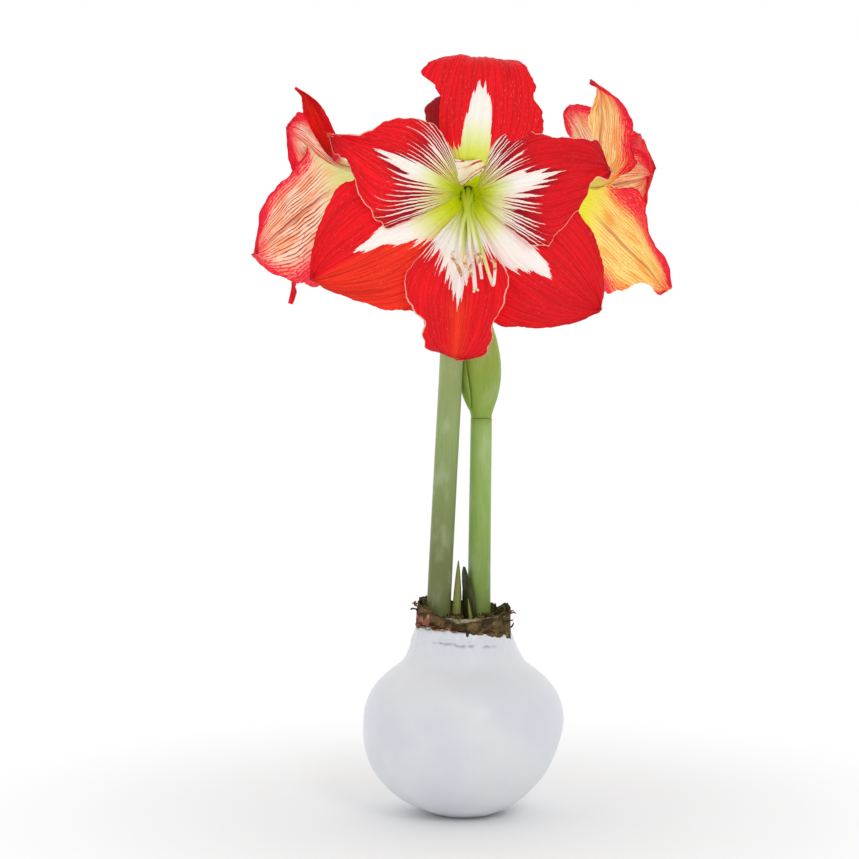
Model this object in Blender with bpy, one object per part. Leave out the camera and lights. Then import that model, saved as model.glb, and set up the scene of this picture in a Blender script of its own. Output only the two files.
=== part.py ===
"""A waxed amaryllis bulb in flower, standing by itself on a flat spot of its wax.

Metres, +Z up, the origin at the middle of the flat spot. The front bloom faces -Y.
"""
import math
from typing import NamedTuple

import bmesh
import bpy
from mathutils import Matrix, Vector

# Gap that neighbouring pieces keep.
GAP = 0.0003

# The dipped bulb: a flattened round belly with a short neck.
BELLY_RADIUS = 0.053
BELLY_HEIGHT = 0.048
SHOULDER_HEIGHT = 0.040
FOOT_RADIUS = 0.0145
NECK_RADIUS = 0.0250
NECK_SPREAD = 0.40
LIP_HEIGHT = 0.0972
WAX_WALL = 0.0024
BELLY_LEAN = 0.0018
BULB_TURNS = 30

# The papery collar of old scales round the top of the bulb.
COLLAR_RADIUS = 0.0248
COLLAR_WALL = 0.0017
COLLAR_HEIGHT = 0.1100
NECK_FLOOR = 0.1030
NECK_FLOOR_RADIUS = 0.0190

# The two flower stalks.
SCAPE_RADIUS = 0.0064
SCAPE_ROOT = 0.0840
BLOOM_SCAPE = (
    (-0.0134, -0.0020), (-0.0132, -0.0020, 0.1080), (-0.0098, -0.0015, 0.1770), (-0.0064, -0.0005, 0.2440),
    (-0.0050, 0.0, 0.2985),
)
BUD_SCAPE = ((0.0081, 0.0040), (0.0081, 0.0040, 0.1080), (0.0084, 0.0045, 0.1440), (0.0092, 0.0062, 0.2084))
UMBEL_TOP = Vector((-0.0050, 0.0, 0.3010))
PEDICEL_RADIUS = 0.0034
OVARY_RADIUS = 0.0058
OVARY_LENGTH = 0.015
STALK_SIDES = 12

# The closed bud on the second stalk.
BUD_LENGTH = 0.0625
BUD_RADIUS = 0.0097

# Petals and stamens.
TEPAL_THICKNESS = 0.0008
TEPAL_ROWS = {"bloom_front": 10, "bloom_left": 8, "bloom_right": 8}
TEPAL_COLUMNS = 6
TEPAL_ROOT = 0.06
TUBE_LENGTH = 0.014
TUBE_WALL = 0.0014
TUBE_RADIUS = 0.0042
TUBE_LEAN = 7
FILAMENT_RADIUS = 0.0007


class Tepal(NamedTuple):
    """One petal: angles in degrees, counter-clockwise as seen from in front of its bloom.

    The trims are pairs of a share of the length and a factor of the half-width there, a table to each margin.
    Early brings the flare forward, opens is the run at which the foot's round section starts to flatten, and
    reach is how far the flattened foot may spread past its round section.
    """

    angle: float
    length: float
    ccw: float
    cw: float
    flare: float
    recurve: float
    curl_from: float = 0.68
    sweep: float = 0.0
    twist: float = 0.0
    twist_from: float = 0.66
    cup: float = 0.0
    wave: float = 0.0015
    phase: float = 0.0
    inner: bool = False
    point: float = 1.3
    fold: float = 0.0
    waist: float = 0.08
    early: float = 0.0
    opens: float = 0.020
    reach: float = 0.9
    ccw_trim: tuple = ((0.0, 1.0),)
    cw_trim: tuple = ((0.0, 1.0),)


class Bloom(NamedTuple):
    """Where a bloom's tube starts, which way it faces, how soon its petals part, and the petals."""

    name: str
    seat: Vector
    facing: Vector
    opening: float
    tepals: tuple


FRONT_BLOOM = Bloom("bloom_front", Vector((0.0012, -0.0240, 0.3257)), Vector((0, -1, 0)), 0.11, (
    Tepal(84.5, 0.118, 0.027, 0.034, 80, 150, curl_from=0.60, cup=-0.15, wave=0.0022, phase=1.0, fold=-0.9,
          ccw_trim=((0.56, 1.0), (0.64, 0.90), (0.75, 1.18), (0.88, 1.0))),
    Tepal(-41, 0.113, 0.031, 0.040, 84, 22, cup=-0.05, wave=0.0015, phase=2.0),
    Tepal(208.5, 0.114, 0.040, 0.034, 84, 14, cup=-0.05, wave=0.0012, phase=0.4,
          cw_trim=((0.6, 1.0), (0.7, 1.12), (0.78, 1.08), (0.86, 1.0))),
    Tepal(16, 0.102, 0.025, 0.033, 82, 58, sweep=-12, cup=0.10, wave=0.0014, inner=True, point=1.5, waist=0.20,
          ccw_trim=((0.58, 1.1), (0.72, 0.85)), cw_trim=((0.66, 1.0), (0.80, 0.76), (0.88, 0.35))),
    Tepal(265.4, 0.113, 0.026, 0.029, 84, 52, curl_from=0.82, cup=0.12, wave=0.0028, phase=2.6, inner=True,
          point=1.9, waist=0.24, ccw_trim=((0.6, 1.0), (0.82, 0.84)), cw_trim=((0.72, 1.0), (0.82, 0.80))),
    Tepal(150, 0.107, 0.033, 0.022, 82, 45, sweep=15, cup=0.10, wave=0.0014, phase=1.7, inner=True,
          point=0.75, waist=0.20, cw_trim=((0.55, 1.15), (0.70, 1.0), (0.82, 0.5)),
          ccw_trim=((0.50, 1.2), (0.62, 1.0), (0.78, 0.95), (0.87, 0.75), (0.95, 1.4))),
))
LEFT_BLOOM = Bloom("bloom_left", Vector((-0.0440, 0.0060, 0.3350)), Vector((-0.990, 0.139, 0.0)), 0.04, (
    Tepal(-39, 0.084, 0.032, 0.044, 58, 4, cup=0.06, wave=0.0016, phase=0.5, waist=-0.16, early=0.03,
          opens=0.010, reach=1.5, cw_trim=((0.10, 1.0), (0.30, 1.3), (0.45, 1.3), (0.66, 1.0), (0.83, 0.82))),
    Tepal(84, 0.063, 0.009, 0.0046, 66, -36, twist=80, twist_from=0.30, cup=0.10, wave=0.0012, phase=1.2,
          point=0.8, ccw_trim=((0.30, 2.2), (0.58, 1.0)), cw_trim=((0.30, 3.2), (0.58, 1.0))),
    Tepal(205, 0.078, 0.028, 0.028, 62, 40, wave=0.0018, phase=2.2),
    Tepal(38, 0.060, 0.026, 0.026, 60, 10, cup=0.06, wave=0.0015, phase=0.9, inner=True),
    Tepal(145, 0.066, 0.026, 0.026, 55, 12, cup=0.06, wave=0.0018, phase=3.0, inner=True),
    Tepal(266, 0.088, 0.017, 0.017, 74, 0, cup=0.05, wave=0.0020, phase=1.6, inner=True, point=0.55),
))
RIGHT_BLOOM = Bloom("bloom_right", Vector((0.0460, 0.0060, 0.3275)), Vector((0.990, 0.139, 0.0)), 0.04, (
    Tepal(236, 0.079, 0.046, 0.032, 54, 4, cup=0.03, wave=0.0026, phase=0.2, waist=-0.16, early=0.12,
          opens=0.004, reach=2.2, cw_trim=((0.34, 1.0), (0.50, 1.34), (0.68, 1.20), (0.84, 1.0)),
          ccw_trim=((0.10, 1.0), (0.30, 1.5), (0.45, 1.36), (0.57, 1.02), (0.66, 0.78), (0.78, 0.46),
                    (0.84, 0.44), (0.95, 0.7))),
    Tepal(112, 0.074, 0.030, 0.030, 92, 60, curl_from=0.76, twist=18, twist_from=0.15, cup=0.18, wave=0.0018,
          phase=1.1, cw_trim=((0.35, 1.0), (0.55, 0.55), (0.72, 0.32), (0.90, 0.5))),
    Tepal(12, 0.084, 0.027, 0.027, 48, 6, wave=0.0018, phase=2.5),
    Tepal(168, 0.058, 0.022, 0.022, 50, 25, cup=0.12, wave=0.0018, phase=0.7, inner=True),
    Tepal(62, 0.062, 0.027, 0.027, 107, 20, cup=0.05, wave=0.0015, phase=1.9, inner=True, point=2.0),
    Tepal(285, 0.068, 0.028, 0.028, 80, 6, cup=0.05, wave=0.0016, phase=1.4, inner=True),
))
BLOOMS = (FRONT_BLOOM, LEFT_BLOOM, RIGHT_BLOOM)


def ease(t):
    """0 to 1 with a soft start and a soft end."""
    t = min(max(t, 0.0), 1.0)
    return t * t * (3 - 2 * t)


def smooth_path(points, steps):
    """Points on a smooth curve through the given ones, steps to each span."""
    ends = [2 * points[0] - points[1], *points, 2 * points[-1] - points[-2]]
    path = []
    for before, start, end, after in zip(ends, ends[1:], ends[2:], ends[3:]):
        for step in range(steps):
            t = step / steps
            path.append(0.5 * (2 * start + (end - before) * t + (2 * before - 5 * start + 4 * end - after) * t * t
                               + (3 * start - before - 3 * end + after) * t ** 3))
    return [*path, points[-1].copy()]


def material(name, colour, roughness):
    """A plain Principled material in the piece's own colour."""
    made = bpy.data.materials.new(name)
    made.use_nodes = True
    shader = made.node_tree.nodes["Principled BSDF"]
    shader.inputs["Base Color"].default_value = (*colour, 1.0)
    shader.inputs["Roughness"].default_value = roughness
    shader.inputs["Metallic"].default_value = 0.0
    return made


def place(name, bm, finish, smooth_angle=40):
    """Puts a finished bmesh into the scene as the named piece."""
    bmesh.ops.recalc_face_normals(bm, faces=bm.faces)
    mesh = bpy.data.meshes.new(name)
    bm.to_mesh(mesh)
    bm.free()
    mesh.shade_smooth()
    mesh.set_sharp_from_angle(angle=math.radians(smooth_angle))
    mesh.materials.append(finish)
    made = bpy.data.objects.new(name, mesh)
    bpy.context.scene.collection.objects.link(made)
    return made


def fuse(name, pieces, operation="UNION", solver="EXACT"):
    """Joins the first piece with all the others, or cuts them out of it, and removes them."""
    whole, others = pieces[0], pieces[1:]
    group = bpy.data.collections.new(name + "_parts")
    for piece in others:
        group.objects.link(piece)
    step = whole.modifiers.new(name + "_step", "BOOLEAN")
    step.operation = operation
    step.operand_type = "COLLECTION"
    step.collection = group
    step.solver = solver
    graph = bpy.context.evaluated_depsgraph_get()
    fused = bpy.data.meshes.new_from_object(whole.evaluated_get(graph))
    whole.modifiers.clear()
    whole.data = fused
    keep_outer_shell(fused)
    whole.name = name
    fused.name = name
    for piece in others:
        bpy.data.objects.remove(piece)
    bpy.data.collections.remove(group)
    return whole


def keep_outer_shell(mesh):
    """Fills the small hollows that joining sealed, and drops loose scraps: the largest shell stays."""
    bm = bmesh.new()
    bm.from_mesh(mesh)
    shells, unseen = [], set(bm.faces)
    while unseen:
        shell, edge_of_shell = set(), [unseen.pop()]
        while edge_of_shell:
            face = edge_of_shell.pop()
            shell.add(face)
            near = {other for edge in face.edges for other in edge.link_faces} & unseen
            unseen -= near
            edge_of_shell.extend(near)
        shells.append(shell)
    largest = max(shells, key=lambda shell: sum(face.calc_area() for face in shell))
    bmesh.ops.delete(bm, geom=[face for face in bm.faces if face not in largest], context="FACES")
    bm.to_mesh(mesh)
    bm.free()


def turned(bm, profile, turns):
    """Spins a profile of (radius, height) pairs round Z, closed at the axis where the radius is 0."""
    points = [bm.verts.new((radius, 0.0, height)) for radius, height in profile]
    edges = [bm.edges.new(pair) for pair in zip(points, points[1:])]
    bmesh.ops.spin(bm, geom=points + edges, cent=(0, 0, 0), axis=(0, 0, 1), angle=math.tau, steps=turns,
                   use_merge=True)
    bmesh.ops.remove_doubles(bm, verts=bm.verts, dist=1e-6)


def swept(bm, path, radii, sides, flatness=1.0, roll=0.0):
    """A closed bar along a path, round or flattened, with its own radius at each point."""
    previous = None
    for index, centre in enumerate(path):
        ahead = path[min(index + 1, len(path) - 1)] - path[max(index - 1, 0)]
        turn = ahead.to_track_quat("Z", "Y").to_matrix().to_4x4()
        shape = Matrix.Rotation(roll, 4, "Z") @ Matrix.Diagonal((1.0, flatness, 1.0, 1.0))
        is_end = index in (0, len(path) - 1)
        ring = bmesh.ops.create_circle(bm, cap_ends=is_end, segments=sides, radius=radii[index],
                                       matrix=Matrix.Translation(centre) @ turn @ shape)["verts"]
        edges = {edge for vert in ring for edge in vert.link_edges}
        if previous:
            bmesh.ops.bridge_loops(bm, edges=list(previous | edges))
        previous = edges


def lip_wave(angle):
    """How far the wax's upper edge lies above its mean height: high in front and on the left."""
    wander = -0.0032 * math.sin(angle) - 0.0018 * math.cos(angle)
    return wander + 0.0006 * math.sin(5 * angle + 0.8) + 0.0004 * math.sin(9 * angle)


def collar_top(angle):
    """Height of the ragged upper edge of the papery collar."""
    sway = 0.0025 * math.cos(2 * angle) + 0.0034 * math.sin(angle) - 0.0016 * math.cos(angle)
    return COLLAR_HEIGHT + sway + 0.0013 * math.sin(7 * angle + 1.0) + 0.0009 * math.sin(12 * angle)


def dip_radius(height, inset):
    """Radius of the dipped bulb at a height, with the surface set in by inset."""
    if height < BELLY_HEIGHT:
        drop = BELLY_HEIGHT / math.sqrt(1 - (FOOT_RADIUS / BELLY_RADIUS) ** 2)
        reach = (BELLY_HEIGHT - height) / (drop - inset)
        return (BELLY_RADIUS - inset) * math.sqrt(max(0.0, 1 - reach * reach))
    reach = (height - BELLY_HEIGHT) / (SHOULDER_HEIGHT - inset)
    belly = (BELLY_RADIUS - inset) * math.sqrt(max(0.0, 1 - reach * reach))
    neck = NECK_RADIUS - inset + NECK_SPREAD * (LIP_HEIGHT - height)
    blend = 0.003 * ease((height - BELLY_HEIGHT) / 0.02)
    return (belly + neck + math.hypot(belly - neck, blend)) / 2


def dip_outline(inset, rows_below, rows_above):
    """(radius, height) pairs of the dipped bulb from its foot to its lip."""
    base = inset * 1.08
    below = [base + (BELLY_HEIGHT - base) * (1 - math.cos(math.pi / 2 * row / rows_below))
             for row in range(rows_below)]
    above = [BELLY_HEIGHT + (LIP_HEIGHT - BELLY_HEIGHT) * row / rows_above for row in range(rows_above + 1)]
    return [(dip_radius(height, inset), height) for height in below + above]


def settle(bm):
    """Leans the belly a little to the left and lets the upper edges wander."""
    for vert in bm.verts:
        angle = math.atan2(vert.co.y, vert.co.x)
        vert.co.x -= BELLY_LEAN * math.sin(math.pi * min(max(vert.co.z / BELLY_HEIGHT, 0.0), 1.0))
        rise = ease((vert.co.z - (LIP_HEIGHT - 0.012)) / 0.012)
        if math.hypot(vert.co.x, vert.co.y) > NECK_RADIUS / 2 and vert.co.z < LIP_HEIGHT + 0.002:
            vert.co.z += lip_wave(angle) * rise


def wax_coat():
    """The wax shell that the bulb was dipped in, open at its neck and flat under its foot."""
    outside = [(0.0, 0.0), *dip_outline(0.0, 6, 7)]
    inside = [(0.0, WAX_WALL * 1.08), *dip_outline(WAX_WALL, 4, 5)]
    bm = bmesh.new()
    turned(bm, [*outside, *reversed(inside)], BULB_TURNS)
    settle(bm)
    return place("wax_coat", bm, material("white_wax", (0.80, 0.82, 0.86), 0.35))


def bulb():
    """The bulb inside the wax, with its ragged collar of brown scales and plain holes for the stalks."""
    inset = WAX_WALL + GAP * 1.6
    flesh = [(0.0, inset * 1.08), *dip_outline(inset, 4, 5)]
    lip = LIP_HEIGHT + GAP
    collar = [
        (NECK_RADIUS - inset, lip + 0.0001), (COLLAR_RADIUS, lip + 0.0012), (COLLAR_RADIUS + 0.0004, 0.1035),
        (COLLAR_RADIUS - 0.0004, COLLAR_HEIGHT), (COLLAR_RADIUS - COLLAR_WALL, COLLAR_HEIGHT),
        (COLLAR_RADIUS - COLLAR_WALL - 0.0008, 0.1042), (NECK_FLOOR_RADIUS, NECK_FLOOR), (0.0, NECK_FLOOR),
    ]
    bm = bmesh.new()
    turned(bm, [*flesh[:-1], *collar], BULB_TURNS)
    for vert in bm.verts:
        angle = math.atan2(vert.co.y, vert.co.x)
        if abs(vert.co.z - COLLAR_HEIGHT) < 1e-5:
            vert.co.z = collar_top(angle)
            vert.co.xy *= 1 + 0.012 * math.sin(5 * angle)
    settle(bm)
    whole = place("bulb", bm, material("papery_brown", (0.12, 0.08, 0.045), 0.85))
    plug = material("cut", (0.5, 0.5, 0.5), 0.5)
    cutters = []
    for foot, radius in ((BLOOM_SCAPE[0], SCAPE_RADIUS), (BUD_SCAPE[0], SCAPE_RADIUS)):
        bm = bmesh.new()
        hole = [Vector((*foot, SCAPE_ROOT - GAP)), Vector((*foot, 0.13))]
        swept(bm, hole, [radius + GAP] * 2, 20)
        cutters.append(place("stalk_hole", bm, plug))
    for foot in (TALL_LEAF_FOOT, BACK_LEAF_FOOT):
        bm = bmesh.new()
        hole = [Vector((*foot, NECK_FLOOR - LEAF_ROOT - GAP)), Vector((*foot, 0.13))]
        swept(bm, hole, [LEAF_ROOT_RADIUS + GAP] * 2, 10)
        cutters.append(place("leaf_hole", bm, plug))
    return fuse("bulb", [whole, *cutters], "DIFFERENCE")


def stalk_path(route, steps):
    """A stalk's centre line from its root in the bulb up through the route's points."""
    foot, *rest = route
    return smooth_path([Vector((*foot, SCAPE_ROOT)), *(Vector(point) for point in rest)], steps)


def flower_frame(bloom):
    """Right, up and outward directions of a bloom, as seen from in front of it."""
    out = bloom.facing.normalized()
    up = (Vector((0, 0, 1)) - out * out.z).normalized()
    return up.cross(out), up, out


def bloom_scape():
    """The taller stalk with the short branch and the seed case under each bloom grown onto it."""
    green = material("stalk_green", (0.33, 0.47, 0.20), 0.5)
    bm = bmesh.new()
    path = stalk_path(BLOOM_SCAPE, 4)
    radii = [SCAPE_RADIUS * (1.0 - 0.06 * index / len(path)) for index in range(len(path))]
    path.append(UMBEL_TOP)
    radii.append(SCAPE_RADIUS * 0.6)
    swept(bm, path, radii, STALK_SIDES)
    pieces = [place("scape_in_bloom", bm, green)]
    for bloom in BLOOMS:
        out = bloom.facing.normalized()
        seat = bloom.seat - out * GAP
        case_start = seat - out * OVARY_LENGTH
        start = UMBEL_TOP + Vector((0, 0, -0.004))
        lift = Vector((0, 0, 0.008))
        route = [start, start.lerp(case_start, 0.35) + lift, case_start - out * 0.003, case_start]
        path = smooth_path(route, 2)
        radii = [PEDICEL_RADIUS] * len(path)
        for share, girth in ((0.3, 0.90), (0.65, 1.0), (1.0, 0.78)):
            path.append(case_start.lerp(seat, share))
            radii.append(OVARY_RADIUS * girth)
        bm = bmesh.new()
        swept(bm, path, radii, 9)
        pieces.append(place("branch", bm, green))
    return fuse("scape_in_bloom", pieces)


def bud_scape():
    """The shorter stalk that carries the closed bud."""
    bm = bmesh.new()
    path = stalk_path(BUD_SCAPE, 4)
    radii = [SCAPE_RADIUS * (0.99 - 0.12 * index / len(path)) for index in range(len(path))]
    swept(bm, path, radii, STALK_SIDES)
    return place("scape_with_bud", bm, material("stalk_green_young", (0.30, 0.50, 0.18), 0.5))


def bud_radius(share):
    """Half-width of the bud at a share of its length from its base."""
    swell = math.sin(math.pi * share ** 0.78) ** 0.9 if 0 < share < 1 else 0.0
    return max(math.hypot(BUD_RADIUS * swell, 0.0054 * (1 - share) ** 2), 0.0007)


def bud():
    """The pointed green bud, wrapped in its two sheath leaves and a little flattened."""
    foot = Vector(BUD_SCAPE[-1]) + Vector((0, 0, GAP))
    rows = 11
    path = [foot + Vector((0.0004, 0.0, BUD_LENGTH)) * (row / rows) for row in range(rows + 1)]
    bm = bmesh.new()
    swept(bm, path, [bud_radius(row / rows) for row in range(rows + 1)], 14, flatness=0.86)
    return place("bud", bm, material("bud_green", (0.36, 0.52, 0.13), 0.45))


# Leaves that have just come up between the stalks.
TALL_LEAF_FOOT = (-0.0040, -0.0040)
BACK_LEAF_FOOT = (-0.0032, 0.0034)
SHORT_LEAF_FOOT = (0.0040, -0.0062)
LEAF_ROOT = 0.005
LEAF_ROOT_RADIUS = 0.0013


def young_leaf(name, foot, height, half_width, tip, colour, rooted=True):
    """A narrow pointed leaf, thick in the middle and thin at its edges."""
    start = Vector((*foot, NECK_FLOOR + GAP))
    end = Vector((*tip, NECK_FLOOR + height))
    rows = 6
    path, radii = [], []
    if rooted:
        path = [start - Vector((0, 0, LEAF_ROOT)), start - Vector((0, 0, 0.0002))]
        radii = [LEAF_ROOT_RADIUS * 0.9, LEAF_ROOT_RADIUS]
    for row in range(rows + 1):
        share = row / rows
        path.append(start.lerp(end, share))
        radii.append(half_width * max(0.14, (1 - share ** 1.7) ** 0.8) * (0.85 + 0.15 * ease(share * 4)))
    bm = bmesh.new()
    swept(bm, path, radii, 8, flatness=0.42)
    return place(name, bm, material(name + "_green", colour, 0.5))


def leaf_sheath():
    """The thin clasping sheath leaf that hugs the left side of the second stalk."""
    centre = Vector((*BUD_SCAPE[0], 0.0))
    bm = bmesh.new()
    bmesh.ops.create_grid(bm, x_segments=5, y_segments=4, size=0.5)
    for vert in bm.verts:
        share, across = vert.co.x + 0.5, vert.co.y * 2
        height = NECK_FLOOR + GAP + 0.0275 * share
        spread = math.radians(52) * (1 - share ** 1.5) ** 0.75 + math.radians(3)
        angle = math.radians(208) + spread * across
        radius = SCAPE_RADIUS + 0.0015 + 0.0007 * share
        vert.co = centre + Vector((math.cos(angle) * radius, math.sin(angle) * radius, height))
    thicken(bm, TEPAL_THICKNESS)
    return place("leaf_sheath", bm, material("sheath_olive", (0.14, 0.15, 0.07), 0.6))


def thicken(bm, thickness):
    """Gives an open sheet its thickness, split into the same triangles on both faces."""
    bmesh.ops.triangulate(bm, faces=bm.faces)
    bmesh.ops.solidify(bm, geom=bm.faces[:], thickness=thickness)


def withered_bract(name, angle, reach, drop):
    """One of the two papery sheath leaves that wrapped the buds, now hanging from the stalk's top."""
    turn = math.radians(angle)
    outward = Vector((math.cos(turn), math.sin(turn), 0))
    sideways = Vector((-math.sin(turn), math.cos(turn), 0))
    top = Vector((-0.0051, 0.0, 0.2930))
    clear = SCAPE_RADIUS + GAP
    route = [
        top + outward * clear, top + outward * (clear + 0.0040) + Vector((0, 0, 0.0030)),
        top + outward * (reach * 0.85) + Vector((0, 0, -0.0060)),
        top + outward * reach - Vector((0, 0, drop * 0.6)), top + outward * (reach * 0.86) - Vector((0, 0, drop)),
    ]
    rows = 8
    line = smooth_path(route, rows // 4)
    bm = bmesh.new()
    bmesh.ops.create_grid(bm, x_segments=rows, y_segments=4, size=0.5)
    for vert in bm.verts:
        share, across = vert.co.x + 0.5, vert.co.y * 2
        half = 0.0055 * (1 - share ** 2.2) ** 0.8 + 0.0008
        curl = across * across * half * 0.45
        vert.co = line[round(share * rows)] + sideways * across * half - outward * curl
        vert.co += Vector((0, 0, 0.0009 * math.sin(9 * share + 2 * across)))
    thicken(bm, TEPAL_THICKNESS)
    return place(name, bm, material(name + "_brown", (0.30, 0.20, 0.10), 0.8))


def midrib(tepal, opening):
    """Points down the middle of a petal with its along, side and inner directions, in its bloom's frame."""
    steps = 48
    turn = math.radians(tepal.angle)
    radial = Vector((math.cos(turn), math.sin(turn), 0))
    lateral = Vector((-math.sin(turn), math.cos(turn), 0))
    axis = Vector((0, 0, 1))
    later = 0.0046 if tepal.inner else 0.0
    radius = TUBE_RADIUS - (0.0013 if tepal.inner else 0.0008)
    point = radial * radius + axis * 0.003
    stations = []
    for step in range(steps + 1):
        run = tepal.length * step / steps
        parted = (run - later) / tepal.length - opening + tepal.early
        lean = TUBE_LEAN + (tepal.flare - TUBE_LEAN) * ease(parted / 0.43)
        curl_start = tepal.curl_from * tepal.length
        lean += tepal.recurve * ease((run - curl_start) / (tepal.length - curl_start) / 1.15)
        swing = math.radians(tepal.sweep) * ease((step / steps - 0.35) / 0.65)
        roll = math.radians(tepal.twist) * ease((step / steps - tepal.twist_from) / 0.30)
        lean = math.radians(lean)
        ahead = axis * math.cos(lean) + radial * math.sin(lean)
        inward = axis * math.sin(lean) - radial * math.cos(lean)
        along = ahead * math.cos(swing) + lateral * math.sin(swing)
        side = lateral * math.cos(swing) - ahead * math.sin(swing)
        stations.append((point.copy(), side * math.cos(roll) + inward * math.sin(roll),
                         inward * math.cos(roll) - side * math.sin(roll)))
        point += along * (tepal.length / steps)
    return stations


def trimmed(table, share):
    """The factor that a table of (share, factor) pairs gives at a share, running softly between them."""
    if share <= table[0][0]:
        return table[0][1]
    for (start, first), (end, last) in zip(table, table[1:]):
        if share <= end:
            return first + (last - first) * ease((share - start) / (end - start))
    return table[-1][1]


def half_width(tepal, share, across, girth):
    """Half-width of a petal at a share of its length, on the side that across points to."""
    full = tepal.ccw if across > 0 else tepal.cw
    full *= trimmed(tepal.ccw_trim if across > 0 else tepal.cw_trim, share)
    rise = 0.09 + 0.91 * ease((share - tepal.waist) / 0.50)
    fall = max(0.0, 1 - max(0.0, (share - 0.48) / 0.52) ** 2.4) ** (1 / tepal.point)
    return max(min(full * rise * fall, girth), 0.0007)


def petal_point(tepal, stations, share, across):
    """A point of the petal's inner face: share along it, and across it from -1 to 1."""
    centre, side, inward = stations[round(share * (len(stations) - 1))]
    girth = math.hypot(centre.x, centre.y) + 0.0004
    opened = ease((share * tepal.length - tepal.opens) / (0.040 if tepal.inner else 0.028))
    width = half_width(tepal, share, across, girth * (1.02 + tepal.reach * opened)) * across
    full = max(tepal.ccw, tepal.cw)
    cup = tepal.cup + (tepal.fold * (1 - ease((share - 0.45) / 0.3)) if across > 0 else 0.0)
    bend = (1 - opened) / girth + opened * cup / full
    if abs(bend) < 1e-4:
        bend = 1e-4
    edge = abs(across) ** 2.5 * ease((share - 0.36) / 0.20)
    ripple = tepal.wave * math.sin(math.tau * 2.3 * share + tepal.phase + (1.9 if across > 0 else 0.0)) * edge
    return (centre + side * (math.sin(bend * width) / bend)
            + inward * ((1 - math.cos(bend * width)) / bend + ripple))


def petal(bm, tepal, opening, rows):
    """One petal as a thin curved blade, in its bloom's frame."""
    stations = midrib(tepal, opening)
    bmesh.ops.create_grid(bm, x_segments=rows, y_segments=TEPAL_COLUMNS, size=0.5)
    for vert in bm.verts:
        share = TEPAL_ROOT + (1 - TEPAL_ROOT) * (vert.co.x + 0.5) ** 0.9
        vert.co = petal_point(tepal, stations, share, vert.co.y * 2)
    thicken(bm, TEPAL_THICKNESS)


def tube(bm):
    """The short funnel that the six petals grow from, closed where it sits on the seed case."""
    tip = TUBE_RADIUS + TUBE_LENGTH * math.tan(math.radians(TUBE_LEAN))
    turned(bm, [
        (0.0, 0.0), (TUBE_RADIUS - 0.0008, 0.0), (TUBE_RADIUS, 0.0016), (tip, TUBE_LENGTH),
        (tip - TUBE_WALL, TUBE_LENGTH), (TUBE_RADIUS - TUBE_WALL + 0.0003, 0.0024), (0.0, 0.0020),
    ], 16)


def throat_flap(bm):
    """The small folded lobe that bridges the top of the front bloom's throat."""
    bmesh.ops.create_grid(bm, x_segments=5, y_segments=3, size=0.5)
    for vert in bm.verts:
        share, across = vert.co.x + 0.5, vert.co.y * 2
        x = -0.0095 + 0.0180 * share
        fold = 0.0022 * math.sin(math.pi * share)
        y = 0.0085 + 0.0022 * share + across * (0.0030 + 0.0012 * share) - fold
        z = 0.0375 - 0.0016 * across * across - 0.0030 * abs(share - 0.5) - 0.0016 * across
        vert.co = Vector((x, y, z))
    thicken(bm, TEPAL_THICKNESS)


def in_place(bm, bloom):
    """Turns a shape made in a bloom's own frame to the bloom's place on the plant."""
    right, up, out = flower_frame(bloom)
    turn = Matrix((right, up, out)).transposed().to_4x4()
    bmesh.ops.transform(bm, matrix=Matrix.Translation(bloom.seat) @ turn, verts=bm.verts)


def bloom_solid(bloom):
    """A whole bloom: the tube and its six petals grown together."""
    red = material(bloom.name + "_red", (0.80, 0.03, 0.04), 0.45)
    bm = bmesh.new()
    tube(bm)
    in_place(bm, bloom)
    pieces = [place(bloom.name, bm, red)]
    for tepal in bloom.tepals:
        bm = bmesh.new()
        petal(bm, tepal, bloom.opening, TEPAL_ROWS[bloom.name])
        in_place(bm, bloom)
        pieces.append(place("petal", bm, red))
    if bloom is FRONT_BLOOM:
        bm = bmesh.new()
        throat_flap(bm)
        in_place(bm, bloom)
        pieces.append(place("flap", bm, red))
    return fuse(bloom.name, pieces, solver="MANIFOLD")


# Free ends of the six filaments in a bloom's own frame, and then the end of the style.
FILAMENT_ENDS = (
    (-0.0075, -0.0265, 0.0640), (-0.0030, -0.0290, 0.0655), (0.0022, -0.0280, 0.0665),
    (0.0055, -0.0315, 0.0670), (0.0108, -0.0310, 0.0645), (-0.0045, -0.0350, 0.0680),
)
STYLE_END = (0.0030, -0.0410, 0.0700)
ANTHER_LENGTH = 0.0062


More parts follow.
